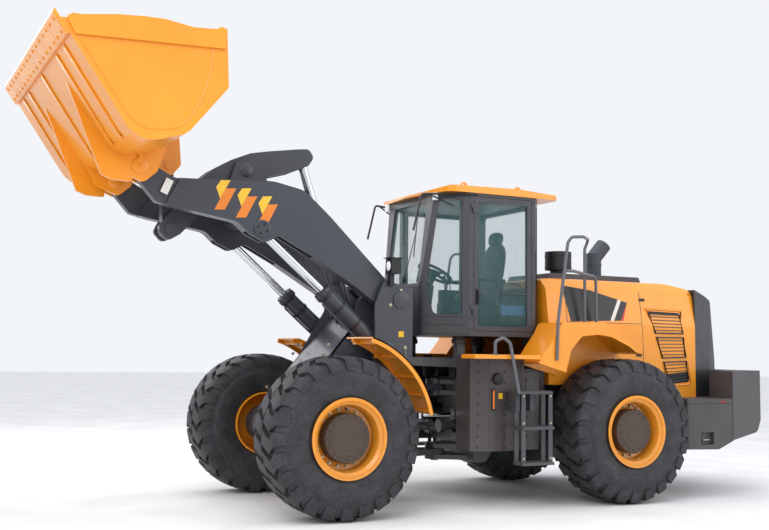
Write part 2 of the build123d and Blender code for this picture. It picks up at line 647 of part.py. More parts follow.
# ---------------------------------------------------------------- rear frame
frame_front = -260.0
frame_outline = [
    (frame_front, 400, 20), (frame_front, 1320, 40), (-520, 1320, 60), (-700, 1250, 60),
    (-2350, 1250, 60), (-2500, 1100, 60), (-3230, 1100, 20), (-3230, 640, 20),
    (-2150, 640, 60), (-2060, axle_pad_z + 30, 60), (-1340, axle_pad_z + 30, 60),
    (-1250, 560, 60), (-520, 560, 60), (-420, 400, 60)]
beam_z = (1440.0, 1540.0)
cab_mounts = [(20, 560), (-900, 560)]
mount_top = cab_floor_z - seat_gap
tank_inner_y = 680.0
hanger_z = ((600, 700), (1150, 1250))
with BuildPart() as rear_frame:
    plate(side(rear_frame_y), frame_outline, side_plate)
    mirror(about=Plane.XZ)
    half = rear_frame_y
    block((frame_front - 30, frame_front), (-half, half), (400, 1320))
    disc(station(frame_front - 15), (0, shaft_z), shaft_hole, 40, Mode.SUBTRACT)
    block((-3230, -3200), (-half, half), (640, 1100))
    # bearing plates of the rear axle
    for x in (rear_axle_x - axle_nose - seat_gap - bearing_plate / 2,
              rear_axle_x + axle_nose + seat_gap + bearing_plate / 2):
        block((x - bearing_plate / 2, x + bearing_plate / 2), (-half, half),
              (axle_pad_z - 60, 1250))
        disc(station(x), (0, bearing_z), trunnion_radius + seat_gap, 2 * bearing_plate,
             Mode.SUBTRACT)
    # hinge forks at the articulation pivot
    for z in lug_z.values():
        for gap in (1, -1):
            with BuildSketch(level(z + gap * (lug_thickness / 2 + 5 + 25))) as lug:
                with BuildLine():
                    Polyline((0, lug_radius), (frame_front - 5, 290), (frame_front - 5, -290),
                             (0, -lug_radius), close=True)
                make_face()
                Circle(lug_radius)
            extrude(lug.sketch, amount=25, both=True)
        disc(level(z), (0, 0), hinge_pin_radius, lug_thickness + 140)
    # room for the steering cylinders as they swing
    for sign in (1, -1):
        block((-610, frame_front + 10), sorted((sign * 285, sign * 430)),
              (steer_z - 80, steer_z + 80), Mode.SUBTRACT)
    # beams, posts and mounts under the cab, and hangers of the side tanks
    for x, y in cab_mounts:
        block((x - 60, x + 60), (-640, 640), beam_z)
        for sign in (1, -1):
            block((x - 45, x + 45), (sign * y - 45, sign * y + 45), (beam_z[1] - 5, 1680))
            disc(level(1670), (x, sign * y), 60, mount_top - 1670, both=False)
    for x in (frame_front - 60, -900):
        for sign in (1, -1):
            block((x - 50, x + 50), (sign * rear_frame_y - 15, sign * rear_frame_y + 15),
                  (1240, beam_z[0] + 5))
    for sign in (1, -1):
        block((-900, 20), (sign * 300 - 40, sign * 300 + 40), (beam_z[0] + 5, beam_z[1] - 5))
        block((frame_front - 110, frame_front - 10), sorted((sign * 290, sign * 415)),
              (beam_z[0] + 5, beam_z[1] - 5))
        for z0, z1 in hanger_z:
            for x in (-560, -350):
                block((x - 40, x + 40), sorted((sign * rear_frame_y,
                                                sign * (tank_inner_y - seat_gap))), (z0, z1))
    # steering cylinder brackets and their pins
    for sign in (1, -1):
        for z in (steer_z + 62, steer_z - 62):
            with BuildSketch(level(z)) as bracket:
                with Locations((steer_base[0], sign * steer_base[1])):
                    Circle(55)
                with Locations((steer_base[0], sign * (steer_base[1] + rear_frame_y) / 2)):
                    Rectangle(110, steer_base[1] - rear_frame_y)
            extrude(bracket.sketch, amount=15, both=True)
        disc(level(steer_z), (steer_base[0], sign * steer_base[1]), steer_pin, 170)
finish(rear_frame, "rear_frame")

# ---------------------------------------------------------------- engine and transmission
with BuildPart() as engine:
    block((-2850, -1750), (-330, 330), (1270, 1950))
    for x in (-2300, -1900):
        for sign in (1, -1):
            block((x - 50, x + 50), sorted((sign * 300, sign * 415)), (1250 + seat_gap, 1330))
finish(engine, "engine")

with BuildPart() as transmission:
    block((-1180, gearbox_front), (-260, 260), (900, 1400))
    block((drop_box_rear, gearbox_front), (-160, 160), (640, 900))
    foot = rear_frame_y - side_plate / 2 - seat_gap
    for x in (-1100, -700):
        block((x - 40, x + 40), (-foot, foot), (1100, 1180))
finish(transmission, "transmission")

# ---------------------------------------------------------------- hood
hood_front = -985.0
hood_back = -3100.0
hood_half = 800.0
hood_sheet = 20.0
weight_deck_z = 1112.0         # top of the counterweight's front part
hood_bottom = weight_deck_z + seat_gap
hood_section = [  # left, up, corner radius
    (-hood_half, hood_bottom, 0), (-hood_half, 1950, 60), (-740, 2330, 60), (-600, 2455, 120),
    (0, 2500, 0), (600, 2455, 120), (740, 2330, 60), (hood_half, 1950, 60),
    (hood_half, hood_bottom, 0)]
hood_profile = [  # forward, up, corner radius
    (hood_front, 1260, 0), (hood_front, 2440, 40), (-1900, 2520, 200), (-2560, 2510, 200),
    (hood_back, 2390, 0), (hood_back, hood_bottom, 0), (-2420, hood_bottom, 0),
    (-2420, 1260, 0)]

with BuildPart() as hood_solid:
    crossed(station(0), hood_section, side(0), hood_profile)
with BuildPart() as hood_space:
    crossed(station(0), [(y, z - (60 if z == hood_bottom else 0), r)
                         for y, z, r in hood_section],
            side(0), [(x, z - (60 if z < 1300 else 0), r) for x, z, r in hood_profile],
            hood_sheet)
with BuildPart() as hood:
    add(hood_solid.part)
    add(hood_space.part, mode=Mode.SUBTRACT)
    block((hood_back - 5, hood_back + 60), (-hood_half + 60, hood_half - 60), (1200, 2330),
          Mode.SUBTRACT)
    block((hood_front - 60, hood_front + 5), (-500, 500), (1200, 2300), Mode.SUBTRACT)
    block((-2445, -2415), (-hood_half + hood_sheet, hood_half - hood_sheet), (1100, 1270),
          Mode.SUBTRACT)
finish(hood, "hood")

top_panel_z = 2530.0
with BuildPart() as hood_top:
    plate(side(0), [(-1230, 2440, 0), (-2600, 2440, 0), (-2560, top_panel_z, 20),
                    (-1270, top_panel_z, 20)], 2 * 430)
    add(hood_solid.part, mode=Mode.SUBTRACT)
finish(hood_top, "hood_top")

tail_plan = [
    (hood_back - seat_gap, -hood_half, 0), (-3480, -640, 60), (-3640, -560, 60),
    (-3640, 560, 60), (-3480, 640, 60), (hood_back - seat_gap, hood_half, 0)]
tail_profile = [
    (hood_back - seat_gap, hood_bottom, 0), (-3640, hood_bottom, 0), (-3640, 1390, 200),
    (-3500, 2270, 60), (-3360, 2320, 60), (hood_back - seat_gap, 2385, 0)]
with BuildPart() as tail_space:
    crossed(level(0), [(x + (60 if x > -3200 else 0), y, 0) for x, y, r in tail_plan],
            side(0), [(x + (60 if x > -3200 else 0), z - (60 if z < 1200 else 0), 0)
                      for x, z, r in tail_profile], hood_sheet)
with BuildPart() as rear_grille:
    crossed(level(0), tail_plan, side(0), tail_profile)
    add(tail_space.part, mode=Mode.SUBTRACT)
finish(rear_grille, "rear_grille")

# ---------------------------------------------------------------- rear fenders
fender_in = hood_half + seat_gap
fender_out = 1240.0
fender_skin = 25.0
arch_radius = 862.0
rear_fender_outline = [
    (-545, 1500, 0), (-790, 1820, 60), (-850, 1935, 60), (-1430, 1950, 200), (-2140, 1470, 0),
    (-1700, 1200, 0), (-760, 1440, 0)]
fender_space = [  # under the top sheet
    (-560, 1460, 0), (-806, 1795, 40), (-878, 1910, 50), (-1425, 1925, 190), (-2180, 1410, 0),
    (-1700, 1100, 0)]
fender_lip = [  # below the outer lip
    (-905, 1300, 0), (-905, 1425, 0), (-965, 1640, 60), (-1110, 1790, 60), (-1330, 1812, 60),
    (-1510, 1790, 60), (-1750, 1690, 60), (-2040, 1500, 0), (-2180, 1300, 0)]
with BuildPart() as rear_fenders:
    fender_mid = (fender_in + fender_out) / 2
    plate(side(fender_mid), rear_fender_outline, fender_out - fender_in)
    disc(side(fender_mid), (rear_axle_x, axle_z), arch_radius, 2 * (fender_out - fender_in),
         Mode.SUBTRACT)
    plate(side(fender_mid), fender_space, fender_out - fender_in - 2 * fender_skin,
          Mode.SUBTRACT)
    plate(side(fender_out), fender_lip, 4 * fender_skin, Mode.SUBTRACT)
    mirror(about=Plane.XZ)
finish(rear_fenders, "rear_fenders")

# ---------------------------------------------------------------- counterweight
weight_plan = [
    (-2560, -1250, 20), (-3240, -1250, 60), (-4005, -930, 60), (-rear_reach, -820, 60),
    (-rear_reach, 820, 60), (-4005, 930, 60), (-3240, 1250, 60), (-2560, 1250, 20)]
weight_profile = [
    (-2560, 550, 0), (-3020, 540, 0), (-3260, 640, 60), (-3900, 700, 120),
    (-rear_reach, 940, 60), (-rear_reach, 1180, 40), (-4005, 1432, 20), (-3235, 1432, 20),
    (-3235, weight_deck_z, 0), (-2560, weight_deck_z, 0)]
tow_pin_radius = 26.0
lifting_bore = 16.0
with BuildPart() as counterweight:
    crossed(level(0), weight_plan, side(0), weight_profile)
    # room for the frame, the hood and the grille
    half = rear_frame_y + side_plate / 2 + seat_gap
    block((-3230 - seat_gap, -2500), (-half, half), (500, 1200), Mode.SUBTRACT)
    block((-3700, -3200), (-880, 880), (weight_deck_z, 1500), Mode.SUBTRACT)
    for sign in (1, -1):
        block((-2945, -2750), sorted((sign * 1200, sign * 1300)), (598, 735), Mode.SUBTRACT)
    # towing jaw and its pin bore
    block((-rear_reach - 5, -3900), (-110, 110), (900, 990), Mode.SUBTRACT)
    with BuildSketch(level(600)) as bore:
        with Locations((-3985, 0)):
            Circle(tow_pin_radius)
    extrude(bore.sketch, amount=1000, mode=Mode.SUBTRACT)
finish(counterweight, "counterweight")

# ---------------------------------------------------------------- tanks, decks, ladders
deck_z = 1540.0
tank_bottom = 580.0
tank_plan = [  # forward, left
    (-538, tank_inner_y), (120, tank_inner_y), (120, 960), (60, 975), (-60, 1040),
    (-270, 1040), (-520, 985), (-538, 985)]
with BuildPart() as side_tanks:
    with BuildSketch(level(tank_bottom)) as outline:
        with BuildLine():
            Polyline(tank_plan, close=True)
        make_face()
    extrude(outline.sketch, amount=deck_z - tank_bottom)
    block((-730, -530), (tank_inner_y, 975), (tank_bottom, 1400))
    # plate behind the ladder
    block((-930, -535), (700, 790), (tank_bottom + 60, 1430))
    mirror(about=Plane.XZ)
finish(side_tanks, "side_tanks")

with BuildPart() as platforms:
    with BuildSketch(level(deck_z + seat_gap)) as outline:
        with BuildLine():
            Polyline((-538, 700), (70, 700), (110, 915), (270, 1030), (270, 1300),
                     (-538, 1300), close=True)
        make_face()
    extrude(outline.sketch, amount=40)
    mirror(about=Plane.XZ)
finish(platforms, "platforms")
deck_top = deck_z + seat_gap + 40

ladder_y = 1290.0
treads = [(-690, -300, 450), (-690, -300, 815), (-670, -255, 1180)]
with BuildPart() as ladders:
    for x0, x1, z in treads:
        block((x0, x1), (ladder_y - 150, ladder_y + 30), (z, z + 30))
    for x in (-655, -320):
        for y in (ladder_y - 125, ladder_y + 5):
            block((x - 25, x + 25), (y - 6, y + 6), (455, 1200))
    for x in (-320, -500):
        block((x - 25, x + 25), (970, ladder_y - 100), (1000, 1200))
    mirror(about=Plane.XZ)
    add(side_tanks.part, mode=Mode.SUBTRACT)
finish(ladders, "ladders")

# ---------------------------------------------------------------- handrails
rail_radius = 17.0
rail_out = fender_out + rail_radius + seat_gap
rails = [  # bend radius, route (x, y, z)
    (60, [(-770, rail_out, 1530), (-782, rail_out, 1925), (-914, rail_out, 2790),
          (-965, rail_out, 2855), (-1120, rail_out, 2866), (-1490, 860, 2890),
          (-1436, 860, 2780), (-1433, 860, 1932)]),
    (40, [(-868, rail_out, 2486), (-1000, rail_out, 2486), (-1560, 860, 2475),
          (-1590, 860, 2430), (-1598, 860, 1824)]),
    (45, [(10, 1270, deck_top + seat_gap), (10, 1270, 1715), (-70, 1300, 1760), (-131, 1336, 1700),
          (-238, 1338, 1190)])]
with BuildPart() as handrails:
    for bend, route in rails:
        bent_bar(route, bend, rail_radius)
    mirror(about=Plane.XZ)
    add(rear_fenders.part, mode=Mode.SUBTRACT)
finish(handrails, "handrails")

# ---------------------------------------------------------------- cab
cab_plan = [
    (cab_rear, -600, 40), (-820, -cab_half_width, 40), (40, -cab_half_width, 30),
    (445, -435, 80), (445, 435, 80), (40, cab_half_width, 30), (-820, cab_half_width, 40),
    (cab_rear, 600, 40)]
cab_profile = [
    (cab_rear, cab_floor_z, 0), (445, cab_floor_z, 0), (445, 2310, 60), (330, cab_top_z, 0),
    (cab_rear, cab_top_z, 0)]
sill = 2005.0
quarter_window = [(90, sill, 20), (330, sill, 60), (385, 2340, 20), (285, 3250, 40),
                  (90, 3250, 20)]
with BuildPart() as cab_space:
    crossed(level(0), [(x, y, 0) for x, y, r in cab_plan],
            side(0), [(x, z, 0) for x, z, r in cab_profile], cab_wall)
with BuildPart() as cab_windows:
    plate(side(0), quarter_window, 3 * cab_half_width)
    plate(side(0), [(-945, 2340, 15), (-860, 2340, 15), (-860, 3230, 15), (-945, 3230, 15)],
          3 * cab_half_width)
    plate(side(-cab_half_width), [(-790, sill, 20), (-20, sill, 20), (-20, 3230, 20),
                                  (-790, 3230, 20)], cab_half_width)
    plate(station(300), [(-385, 2345, 40), (385, 2345, 40), (385, 3240, 40), (-385, 3240, 40)],
          400)
    plate(station(cab_rear), [(-500, 2340, 40), (500, 2340, 40), (500, 3230, 40),
                           (-500, 3230, 40)], 300)
with BuildPart() as glass_space:
    crossed(level(0), [(x, y, 0) for x, y, r in cab_plan],
            side(0), [(x, z, 0) for x, z, r in cab_profile], 15 + glass_thickness)

with BuildPart() as cab_frame:
    crossed(level(0), cab_plan, side(0), cab_profile)
    add(cab_space.part, mode=Mode.SUBTRACT)
    add(cab_windows.part, mode=Mode.SUBTRACT)
    block((door_rear, door_front), (cab_half_width - 200, cab_half_width + 50),
          (door_bottom, door_top), Mode.SUBTRACT)
    # hinge knuckles of the door
    for z in (2000, 3100):
        block((door_front + 2, door_front + 40), (cab_half_width - 5, cab_half_width + 12),
              (z + 60, z + 100))
finish(cab_frame, "cab_frame")

with BuildPart() as cab_glass:
    crossed(level(0), [(x, y, 0) for x, y, r in cab_plan],
            side(0), [(x, z, 0) for x, z, r in cab_profile], 15)
    add(glass_space.part, mode=Mode.SUBTRACT)
    add(cab_windows.part, mode=Mode.INTERSECT)
finish(cab_glass, "cab_glass")

roof_plan = [
    (-1150, -800, 120), (290, -800, 100), (365, -500, 60), (420, 0, 0), (365, 500, 60),
    (290, 800, 100), (-1150, 800, 120)]
roof_bottom = cab_top_z + seat_gap
roof_profile = [
    (-1150, roof_bottom, 0), (450, roof_bottom, 0), (450, 3330, 0), (270, 3388, 60),
    (-600, 3402, 0), (-1150, 3365, 0)]
with BuildPart() as cab_roof:
    crossed(level(0), roof_plan, side(0), roof_profile)
    for x in (0, -700):
        for sign in (1, -1):
            plate(side(sign * 600), [(x - 60, 3360, 0), (x + 60, 3360, 0), (x + 30, 3458, 25),
                                     (x - 30, 3458, 25)], 24)
            disc(side(sign * 600), (x, 3430), lifting_bore, 60, Mode.SUBTRACT)
finish(cab_roof, "cab_roof")

door_thickness = 45.0
door_outer = cab_half_width
with BuildPart() as door_frame:
    x_mid = (door_front + door_rear) / 2
    door_plane = side(door_outer - door_thickness / 2)
    low, high = door_bottom + door_gap, door_top - door_gap
    back, front = door_rear + door_gap, door_front - door_gap
    plate(door_plane, [(back, low, 10), (front, low, 10), (front, high, 10),
                       (back, high, 10)], door_thickness)
    plate(door_plane, [(back + 55, low + 50, 20), (front - 55, low + 50, 20),
                       (front - 55, high - 60, 20), (back + 55, high - 60, 20)],
          door_thickness, Mode.SUBTRACT)
    for z in (2000, 3100):
        block((front - 45, front + 2), (door_outer - 5, door_outer + 10), (z, z + 55))
        with BuildSketch(level(z)) as knuckle:
            with Locations((door_front + 10, door_outer + 12)):
                Circle(11)
        extrude(knuckle.sketch, amount=55)
        block((front - 5, door_front + 10), (door_outer + 2, door_outer + 11), (z, z + 55))
finish(door_frame, "door_frame")

with BuildPart() as door_glass:
    plate(door_plane, [(back + 55, low + 50, 20), (front - 55, low + 50, 20),
                       (front - 55, high - 60, 20), (back + 55, high - 60, 20)],
          glass_thickness)
finish(door_glass, "door_glass")

# ---------------------------------------------------------------- inside the cab
cab_inner_floor = cab_floor_z + cab_wall
seat_x = -560.0
with BuildPart() as seat:
    block((seat_x - 180, seat_x + 180), (-180, 180), (cab_inner_floor + seat_gap, 2150))
    block((seat_x - 250, seat_x + 270), (-260, 260), (2150, 2290))
    plate(side(0), [(seat_x - 230, 2290, 0), (seat_x - 130, 2290, 0),
                    (seat_x - 190, 2900, 40), (seat_x - 290, 2900, 40)], 460)
    plate(side(0), [(seat_x - 295, 2890, 0), (seat_x - 195, 2890, 0),
                    (seat_x - 200, 3060, 40), (seat_x - 300, 3060, 40)], 260)
finish(seat, "seat")

with BuildPart() as console:
    plate(side(0), [(150, cab_inner_floor + seat_gap, 0), (300, cab_inner_floor + seat_gap, 0),
                    (180, 2350, 20), (80, 2350, 20)], 200)
    wheel_at = Plane(origin=(pivot_x + 20, 0, 2480), x_dir=(0, 1, 0),
                     z_dir=(-sin(radians(30)), 0, cos(radians(30))))
    with BuildSketch(wheel_at) as column:
        Circle(35)
    extrude(column.sketch, amount=-260)
    with BuildSketch(wheel_at) as rim:
        Circle(215)
        Circle(185, mode=Mode.SUBTRACT)
        Rectangle(400, 30)
        Rectangle(30, 400)
    extrude(rim.sketch, amount=25)
finish(console, "console")

# ---------------------------------------------------------------- small outside pieces
panel_seat = top_panel_z + seat_gap
stack_radius = 95.0
with BuildPart() as exhaust:
    disc(level(panel_seat), (-2335, -150), stack_radius, 320, both=False)
    with BuildSketch(Plane(origin=(pivot_x - 2335, -150, 2790),
                           z_dir=(-sin(radians(42)), 0, cos(radians(42))))) as tip:
        Circle(stack_radius)
    extrude(tip.sketch, amount=235)
    disc(level(panel_seat), (-2335, -150), stack_radius - 6, 250, Mode.SUBTRACT, both=False)
    disc(level(panel_seat), (-2335, -150), stack_radius + 30, 12, both=False)
finish(exhaust, "exhaust")

with BuildPart() as precleaner:
    disc(level(panel_seat), (-1510, 250), 95, 60, both=False)
    disc(level(panel_seat + 50), (-1510, 250), 155, 215, both=False)
finish(precleaner, "precleaner")

mirror_tube = 12.0
mirror_arms_at = [  # tube radius, bend radius, route (x, y, z)
    (mirror_tube, 40, [(-60, 792.5, 3304), (40, 800, 3304), (505, 565, 3298), (600, 565, 2895)]),
    (mirror_tube - 3, 0, [(440, 598, 3299), (172, 687, 3172)])]
with BuildPart() as mirror_arms:
    for radius, bend, route in mirror_arms_at:
        bent_bar(route, bend, radius)
    mirror(about=Plane.XZ)
finish(mirror_arms, "mirror_arms")

with BuildPart() as cab_lamps:
    for sign in (1, -1):
        disc(level(3240), (340, sign * 575), 30, roof_bottom - seat_gap - 3240, both=False)
finish(cab_lamps, "cab_lamps")

lamp_y = (690.0, 820.0)
with BuildPart() as head_lamps:
    block((870, 985), lamp_y, (2400, 2560))
    block((845, 1010), (lamp_y[0] - 10, lamp_y[1] + 10), (2560, 2568))
    block((900, 950), (outer_plate_y + tower_plate / 2 + seat_gap, 720), (2275, 2405))
    mirror(about=Plane.XZ)
finish(head_lamps, "head_lamps")

with BuildPart() as control_valve:
    block((tower_back + 25 + seat_gap, 850), (-220, 220), (1620, 1900))
    for y in (-150, -50, 50, 150):
        disc(station(850), (y, 1760), 30, 120)
finish(control_valve, "control_valve")
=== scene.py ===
"""Looks of an articulated wheel loader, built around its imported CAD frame.

Places are given in millimetres as (forward of the articulation pivot, left, up) and turned
into the frame's metres by at(). Shapes are worked out with numpy as whole arrays.
"""

import json
from math import atan2, cos, pi, radians, sin

import bmesh
import bpy
import numpy as np
from mathutils import Matrix, Vector


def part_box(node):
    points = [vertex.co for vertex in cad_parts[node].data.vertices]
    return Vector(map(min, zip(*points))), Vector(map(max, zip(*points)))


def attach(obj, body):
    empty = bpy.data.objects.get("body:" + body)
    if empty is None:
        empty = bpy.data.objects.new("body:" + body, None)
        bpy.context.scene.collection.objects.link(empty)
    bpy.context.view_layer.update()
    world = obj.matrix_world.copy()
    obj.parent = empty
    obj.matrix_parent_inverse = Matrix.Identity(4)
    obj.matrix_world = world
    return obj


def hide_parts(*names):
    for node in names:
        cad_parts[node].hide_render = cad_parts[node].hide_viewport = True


bl_info = {
    "name": "Wheel loader looks",
    "version": (1, 0, 0),
    "blender": (4, 5, 0),
    "location": "View3D > Sidebar > Loader",
    "description": "Dresses the packed wheel loader with its materials and small pieces",
    "category": "Object",
}

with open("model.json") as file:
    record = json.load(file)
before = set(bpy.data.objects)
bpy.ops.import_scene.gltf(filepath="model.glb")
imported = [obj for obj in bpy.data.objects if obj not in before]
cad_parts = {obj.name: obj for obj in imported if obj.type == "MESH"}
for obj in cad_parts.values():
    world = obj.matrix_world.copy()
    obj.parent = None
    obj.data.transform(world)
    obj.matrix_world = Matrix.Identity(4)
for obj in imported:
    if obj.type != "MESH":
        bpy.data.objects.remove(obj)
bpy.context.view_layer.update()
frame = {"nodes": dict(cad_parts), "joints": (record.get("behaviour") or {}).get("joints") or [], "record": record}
joints = {joint["name"]: joint for joint in frame["joints"]}
pivot_x = joints["articulation"]["pos_m"][0]
boom_pin = Vector(joints["boom_lift"]["pos_m"])
bucket_pin = Vector(joints["bucket_tilt"]["pos_m"])
rocker_pin = Vector(joints["rocker_pivot"]["pos_m"])
boom_angle = atan2(bucket_pin.z - boom_pin.z, bucket_pin.x - boom_pin.x)
floor_angle = radians(55.6)            # bucket floor above level
arm_y, arm_half = 530.0, 75.0          # middle of an arm, and half its width
cab_side = 780.0                       # outer face of the cab's pillars
weight_side = 1250.0                   # outer face of the counterweight
MM = 0.001
WELD, SLIVER = 0.00002, 0.00001        # metres within which points, or an edge, become one


# ---------------------------------------------------------------- places
def at(x, y, z):
    """World place of (forward of the articulation pivot, left, up) in millimetres."""
    return np.array([pivot_x + x * MM, y * MM, z * MM])


def tilted(pin, angle, u, v, y):
    """World place u along and v square to a line that leaves pin at angle, at y millimetres."""
    return np.array([pin.x + (u * cos(angle) - v * sin(angle)) * MM, y * MM,
                     pin.z + (u * sin(angle) + v * cos(angle)) * MM])


def on_boom(u, v, y):
    """Place on the boom: u towards the bucket pin, v square to it, in millimetres."""
    return tilted(boom_pin, boom_angle, u, v, y)


def on_bucket(u, v, y):
    """Place on the bucket: u along its floor from the bucket pin, v square to it."""
    return tilted(bucket_pin, floor_angle, u, v, y)


AHEAD = np.array([1.0, 0.0, 0.0])
LEFT = np.array([0.0, 1.0, 0.0])
UP = np.array([0.0, 0.0, 1.0])
FLOOR_ALONG = np.array([cos(floor_angle), 0.0, sin(floor_angle)])
FLOOR_UP = np.array([-sin(floor_angle), 0.0, cos(floor_angle)])


# ---------------------------------------------------------------- shapes
def unit(vector):
    """The vector at length one."""
    vector = np.asarray(vector, float)
    return vector / np.linalg.norm(vector, axis=-1, keepdims=True)


def sideways(direction):
    """Two unit vectors square to a direction and to each other."""
    direction = unit(direction)
    helper = UP if abs(direction[2]) < 0.9 else AHEAD
    first = unit(np.cross(helper, direction))
    return first, np.cross(direction, first)


def grid_faces(rows, columns, wrap_rows=False, wrap_columns=False):
    """Four-cornered faces of a grid of points: each joins a point to its next row and column."""
    r = np.arange(rows if wrap_rows else rows - 1)
    c = np.arange(columns if wrap_columns else columns - 1)
    r, c = np.meshgrid(r, c, indexing="ij")
    r2, c2 = (r + 1) % rows, (c + 1) % columns
    return np.stack([r * columns + c, r * columns + c2, r2 * columns + c2,
                     r2 * columns + c], -1).reshape(-1, 4).tolist()


def lathe(profile, centre, axis, count=48):
    """Surface of revolution: each (along, radius) row in millimetres goes round the axis."""
    rows = np.asarray(profile, float) * MM
    turn = np.linspace(0, 2 * pi, count, endpoint=False)
    first, second = sideways(axis)
    ring = np.cos(turn)[:, None] * first + np.sin(turn)[:, None] * second
    points = (np.asarray(centre)[None, None, :] + rows[:, 0][:, None, None] * unit(axis)
              + rows[:, 1][:, None, None] * ring[None, :, :])
    return points.reshape(-1, 3), grid_faces(len(rows), count, wrap_columns=True)


def sweep(section, path, closed=False):
    """Section (across, up) in millimetres carried along a path of places, with end caps."""
    path = np.asarray(path, float)
    section = np.asarray(section, float) * MM
    ahead = np.roll(path, -1, 0) - path
    behind = path - np.roll(path, 1, 0)
    if not closed:
        ahead[-1] = behind[-1]
        behind[0] = ahead[0]
    direction = unit(unit(ahead) + unit(behind))
    helper = UP if np.abs(direction[:, 2]).max() < 0.95 else (
        LEFT if np.abs(direction[:, 1]).max() < 0.95 else AHEAD)
    across = unit(np.cross(helper, direction))
    up = np.cross(direction, across)
    stretch = 1 / np.maximum(np.sum(direction * unit(ahead), 1), 0.5)
    points = (path[:, None, :] + section[None, :, 0, None] * across[:, None, :]
              * stretch[:, None, None] + section[None, :, 1, None] * up[:, None, :]
              * stretch[:, None, None])
    rows, columns = len(path), len(section)
    faces = grid_faces(rows, columns, wrap_rows=closed, wrap_columns=True)
    if not closed:
        faces += [list(range(columns))[::-1], list(range((rows - 1) * columns, rows * columns))]
    return points.reshape(-1, 3), [face[::-1] for face in faces]


def circle(radius, count=12):
    """Round section of that radius in millimetres."""
    turn = np.linspace(0, 2 * pi, count, endpoint=False)
    return np.stack([np.cos(turn), np.sin(turn)], 1) * radius


def rounded(path, radius, steps=5):
    """Path with each inner corner swapped for a curve: a quadratic through the corner's sides."""
    path = [np.asarray(place, float) for place in path]
    ways = [path[0]]
    share = np.linspace(0, 1, steps + 1)[:, None]
    for before, corner, after in zip(path, path[1:], path[2:]):
        reach = min(radius * MM, np.linalg.norm(before - corner) / 2.05,
                    np.linalg.norm(after - corner) / 2.05)
        start = corner + unit(before - corner) * reach
        end = corner + unit(after - corner) * reach
        ways += list((1 - share) ** 2 * start + 2 * share * (1 - share) * corner
                     + share ** 2 * end)
    return np.array(ways + [path[-1]])


def tube(path, radius, bend=60, count=10):
    """Round tube in millimetres along places, with its corners curved."""
    return sweep(circle(radius, count), rounded(path, bend) if len(path) > 2 else path)


def flat_at(y):
    """Placing of a slab that stands along the machine with its middle at y."""
    return lambda u, v, offset: at(u, y + offset, v)


def facing(side, sign):
    """Placing of a slab on one side of the machine, its middle side millimetres out."""
    return lambda u, v, offset: at(u, sign * (side + offset), v)


def boom_at(y):
    """Placing of a slab that stands along the boom with its middle at y."""
    return lambda u, v, offset: on_boom(u, v, y + offset)


def bucket_at(y):
    """Placing of a slab that stands along the bucket with its middle at y."""
    return lambda u, v, offset: on_bucket(u, v, y + offset)


def rectangle(u0, v0, u1, v1):
    """Outline of a rectangle between two corners."""
    return [(u0, v0), (u1, v0), (u1, v1), (u0, v1)]


def between(share, first, second):
    """The point that share of the way from one (u, v) to another."""
    return tuple(a + (b - a) * share for a, b in zip(first, second))


def slab(corners, thickness, place):
    """Plate from its (u, v) outline: place(u, v, offset) gives the world points of each side."""
    near = np.array([place(u, v, -thickness / 2) for u, v in corners])
    far = np.array([place(u, v, thickness / 2) for u, v in corners])
    count = len(corners)
    faces = grid_faces(2, count, wrap_columns=True)
    faces += [list(range(count))[::-1], list(range(count, 2 * count))]
    return np.concatenate([near, far]), faces


def box(low, high):
    """Block between two machine corners in millimetres."""
    (x0, y0, z0), (x1, y1, z1) = low, high
    return slab(rectangle(x0, z0, x1, z1), y1 - y0, flat_at((y0 + y1) / 2))


def stud(place, direction, radius, height, sides=6):
    """Hexagon bolt head with a chamfer and a washer under it, as a lathe of few sides."""
    rows = [(-1, radius * 1.35), (height * 0.25, radius * 1.35), (height * 0.25, radius),
            (height * 0.85, radius), (height, radius * 0.8), (height, 0.01)]
    return lathe(rows, place, direction, sides)


def cushion(centre, half, crown, axes, power=2.6, rows=24, columns=36):
    """Crowned pad: a superellipsoid, half sizes in millimetres, pinched towards its corners."""
    theta = np.linspace(-pi / 2, pi / 2, rows)[:, None]
    phi = np.linspace(0, 2 * pi, columns, endpoint=False)[None, :]
    share = 2 / power

    def rounded_power(value):
        return np.sign(value) * np.abs(value) ** share

    x = rounded_power(np.cos(theta)) * rounded_power(np.cos(phi)) * half[0]
    y = rounded_power(np.cos(theta)) * rounded_power(np.sin(phi)) * half[1]
    z = np.sign(np.sin(theta)) * np.abs(np.sin(theta)) ** 0.55 * half[2] * np.ones_like(phi)
    z = z + crown * np.cos(x / half[0] * pi / 2) * np.cos(y / half[1] * pi / 2) * np.sign(z)
    a, b, c = axes
    points = (np.asarray(centre) + x[..., None] * MM * a + y[..., None] * MM * b
              + z[..., None] * MM * c)
    return points.reshape(-1, 3), grid_faces(rows, columns, wrap_columns=True)


def joined(shapes):
    """Several (points, faces) shapes as one."""
    points, faces, start = [], [], 0
    for shape_points, shape_faces in shapes:
        points.append(shape_points)
        faces += [[start + index for index in face] for face in shape_faces]
        start += len(shape_points)
    return np.concatenate(points), faces


def both_sides(shapes):
    """The shapes and their mirror images across the machine."""
    out = list(shapes)
    for points, faces in shapes:
        out.append((points * np.array([1, -1, 1]), [face[::-1] for face in faces]))
    return out


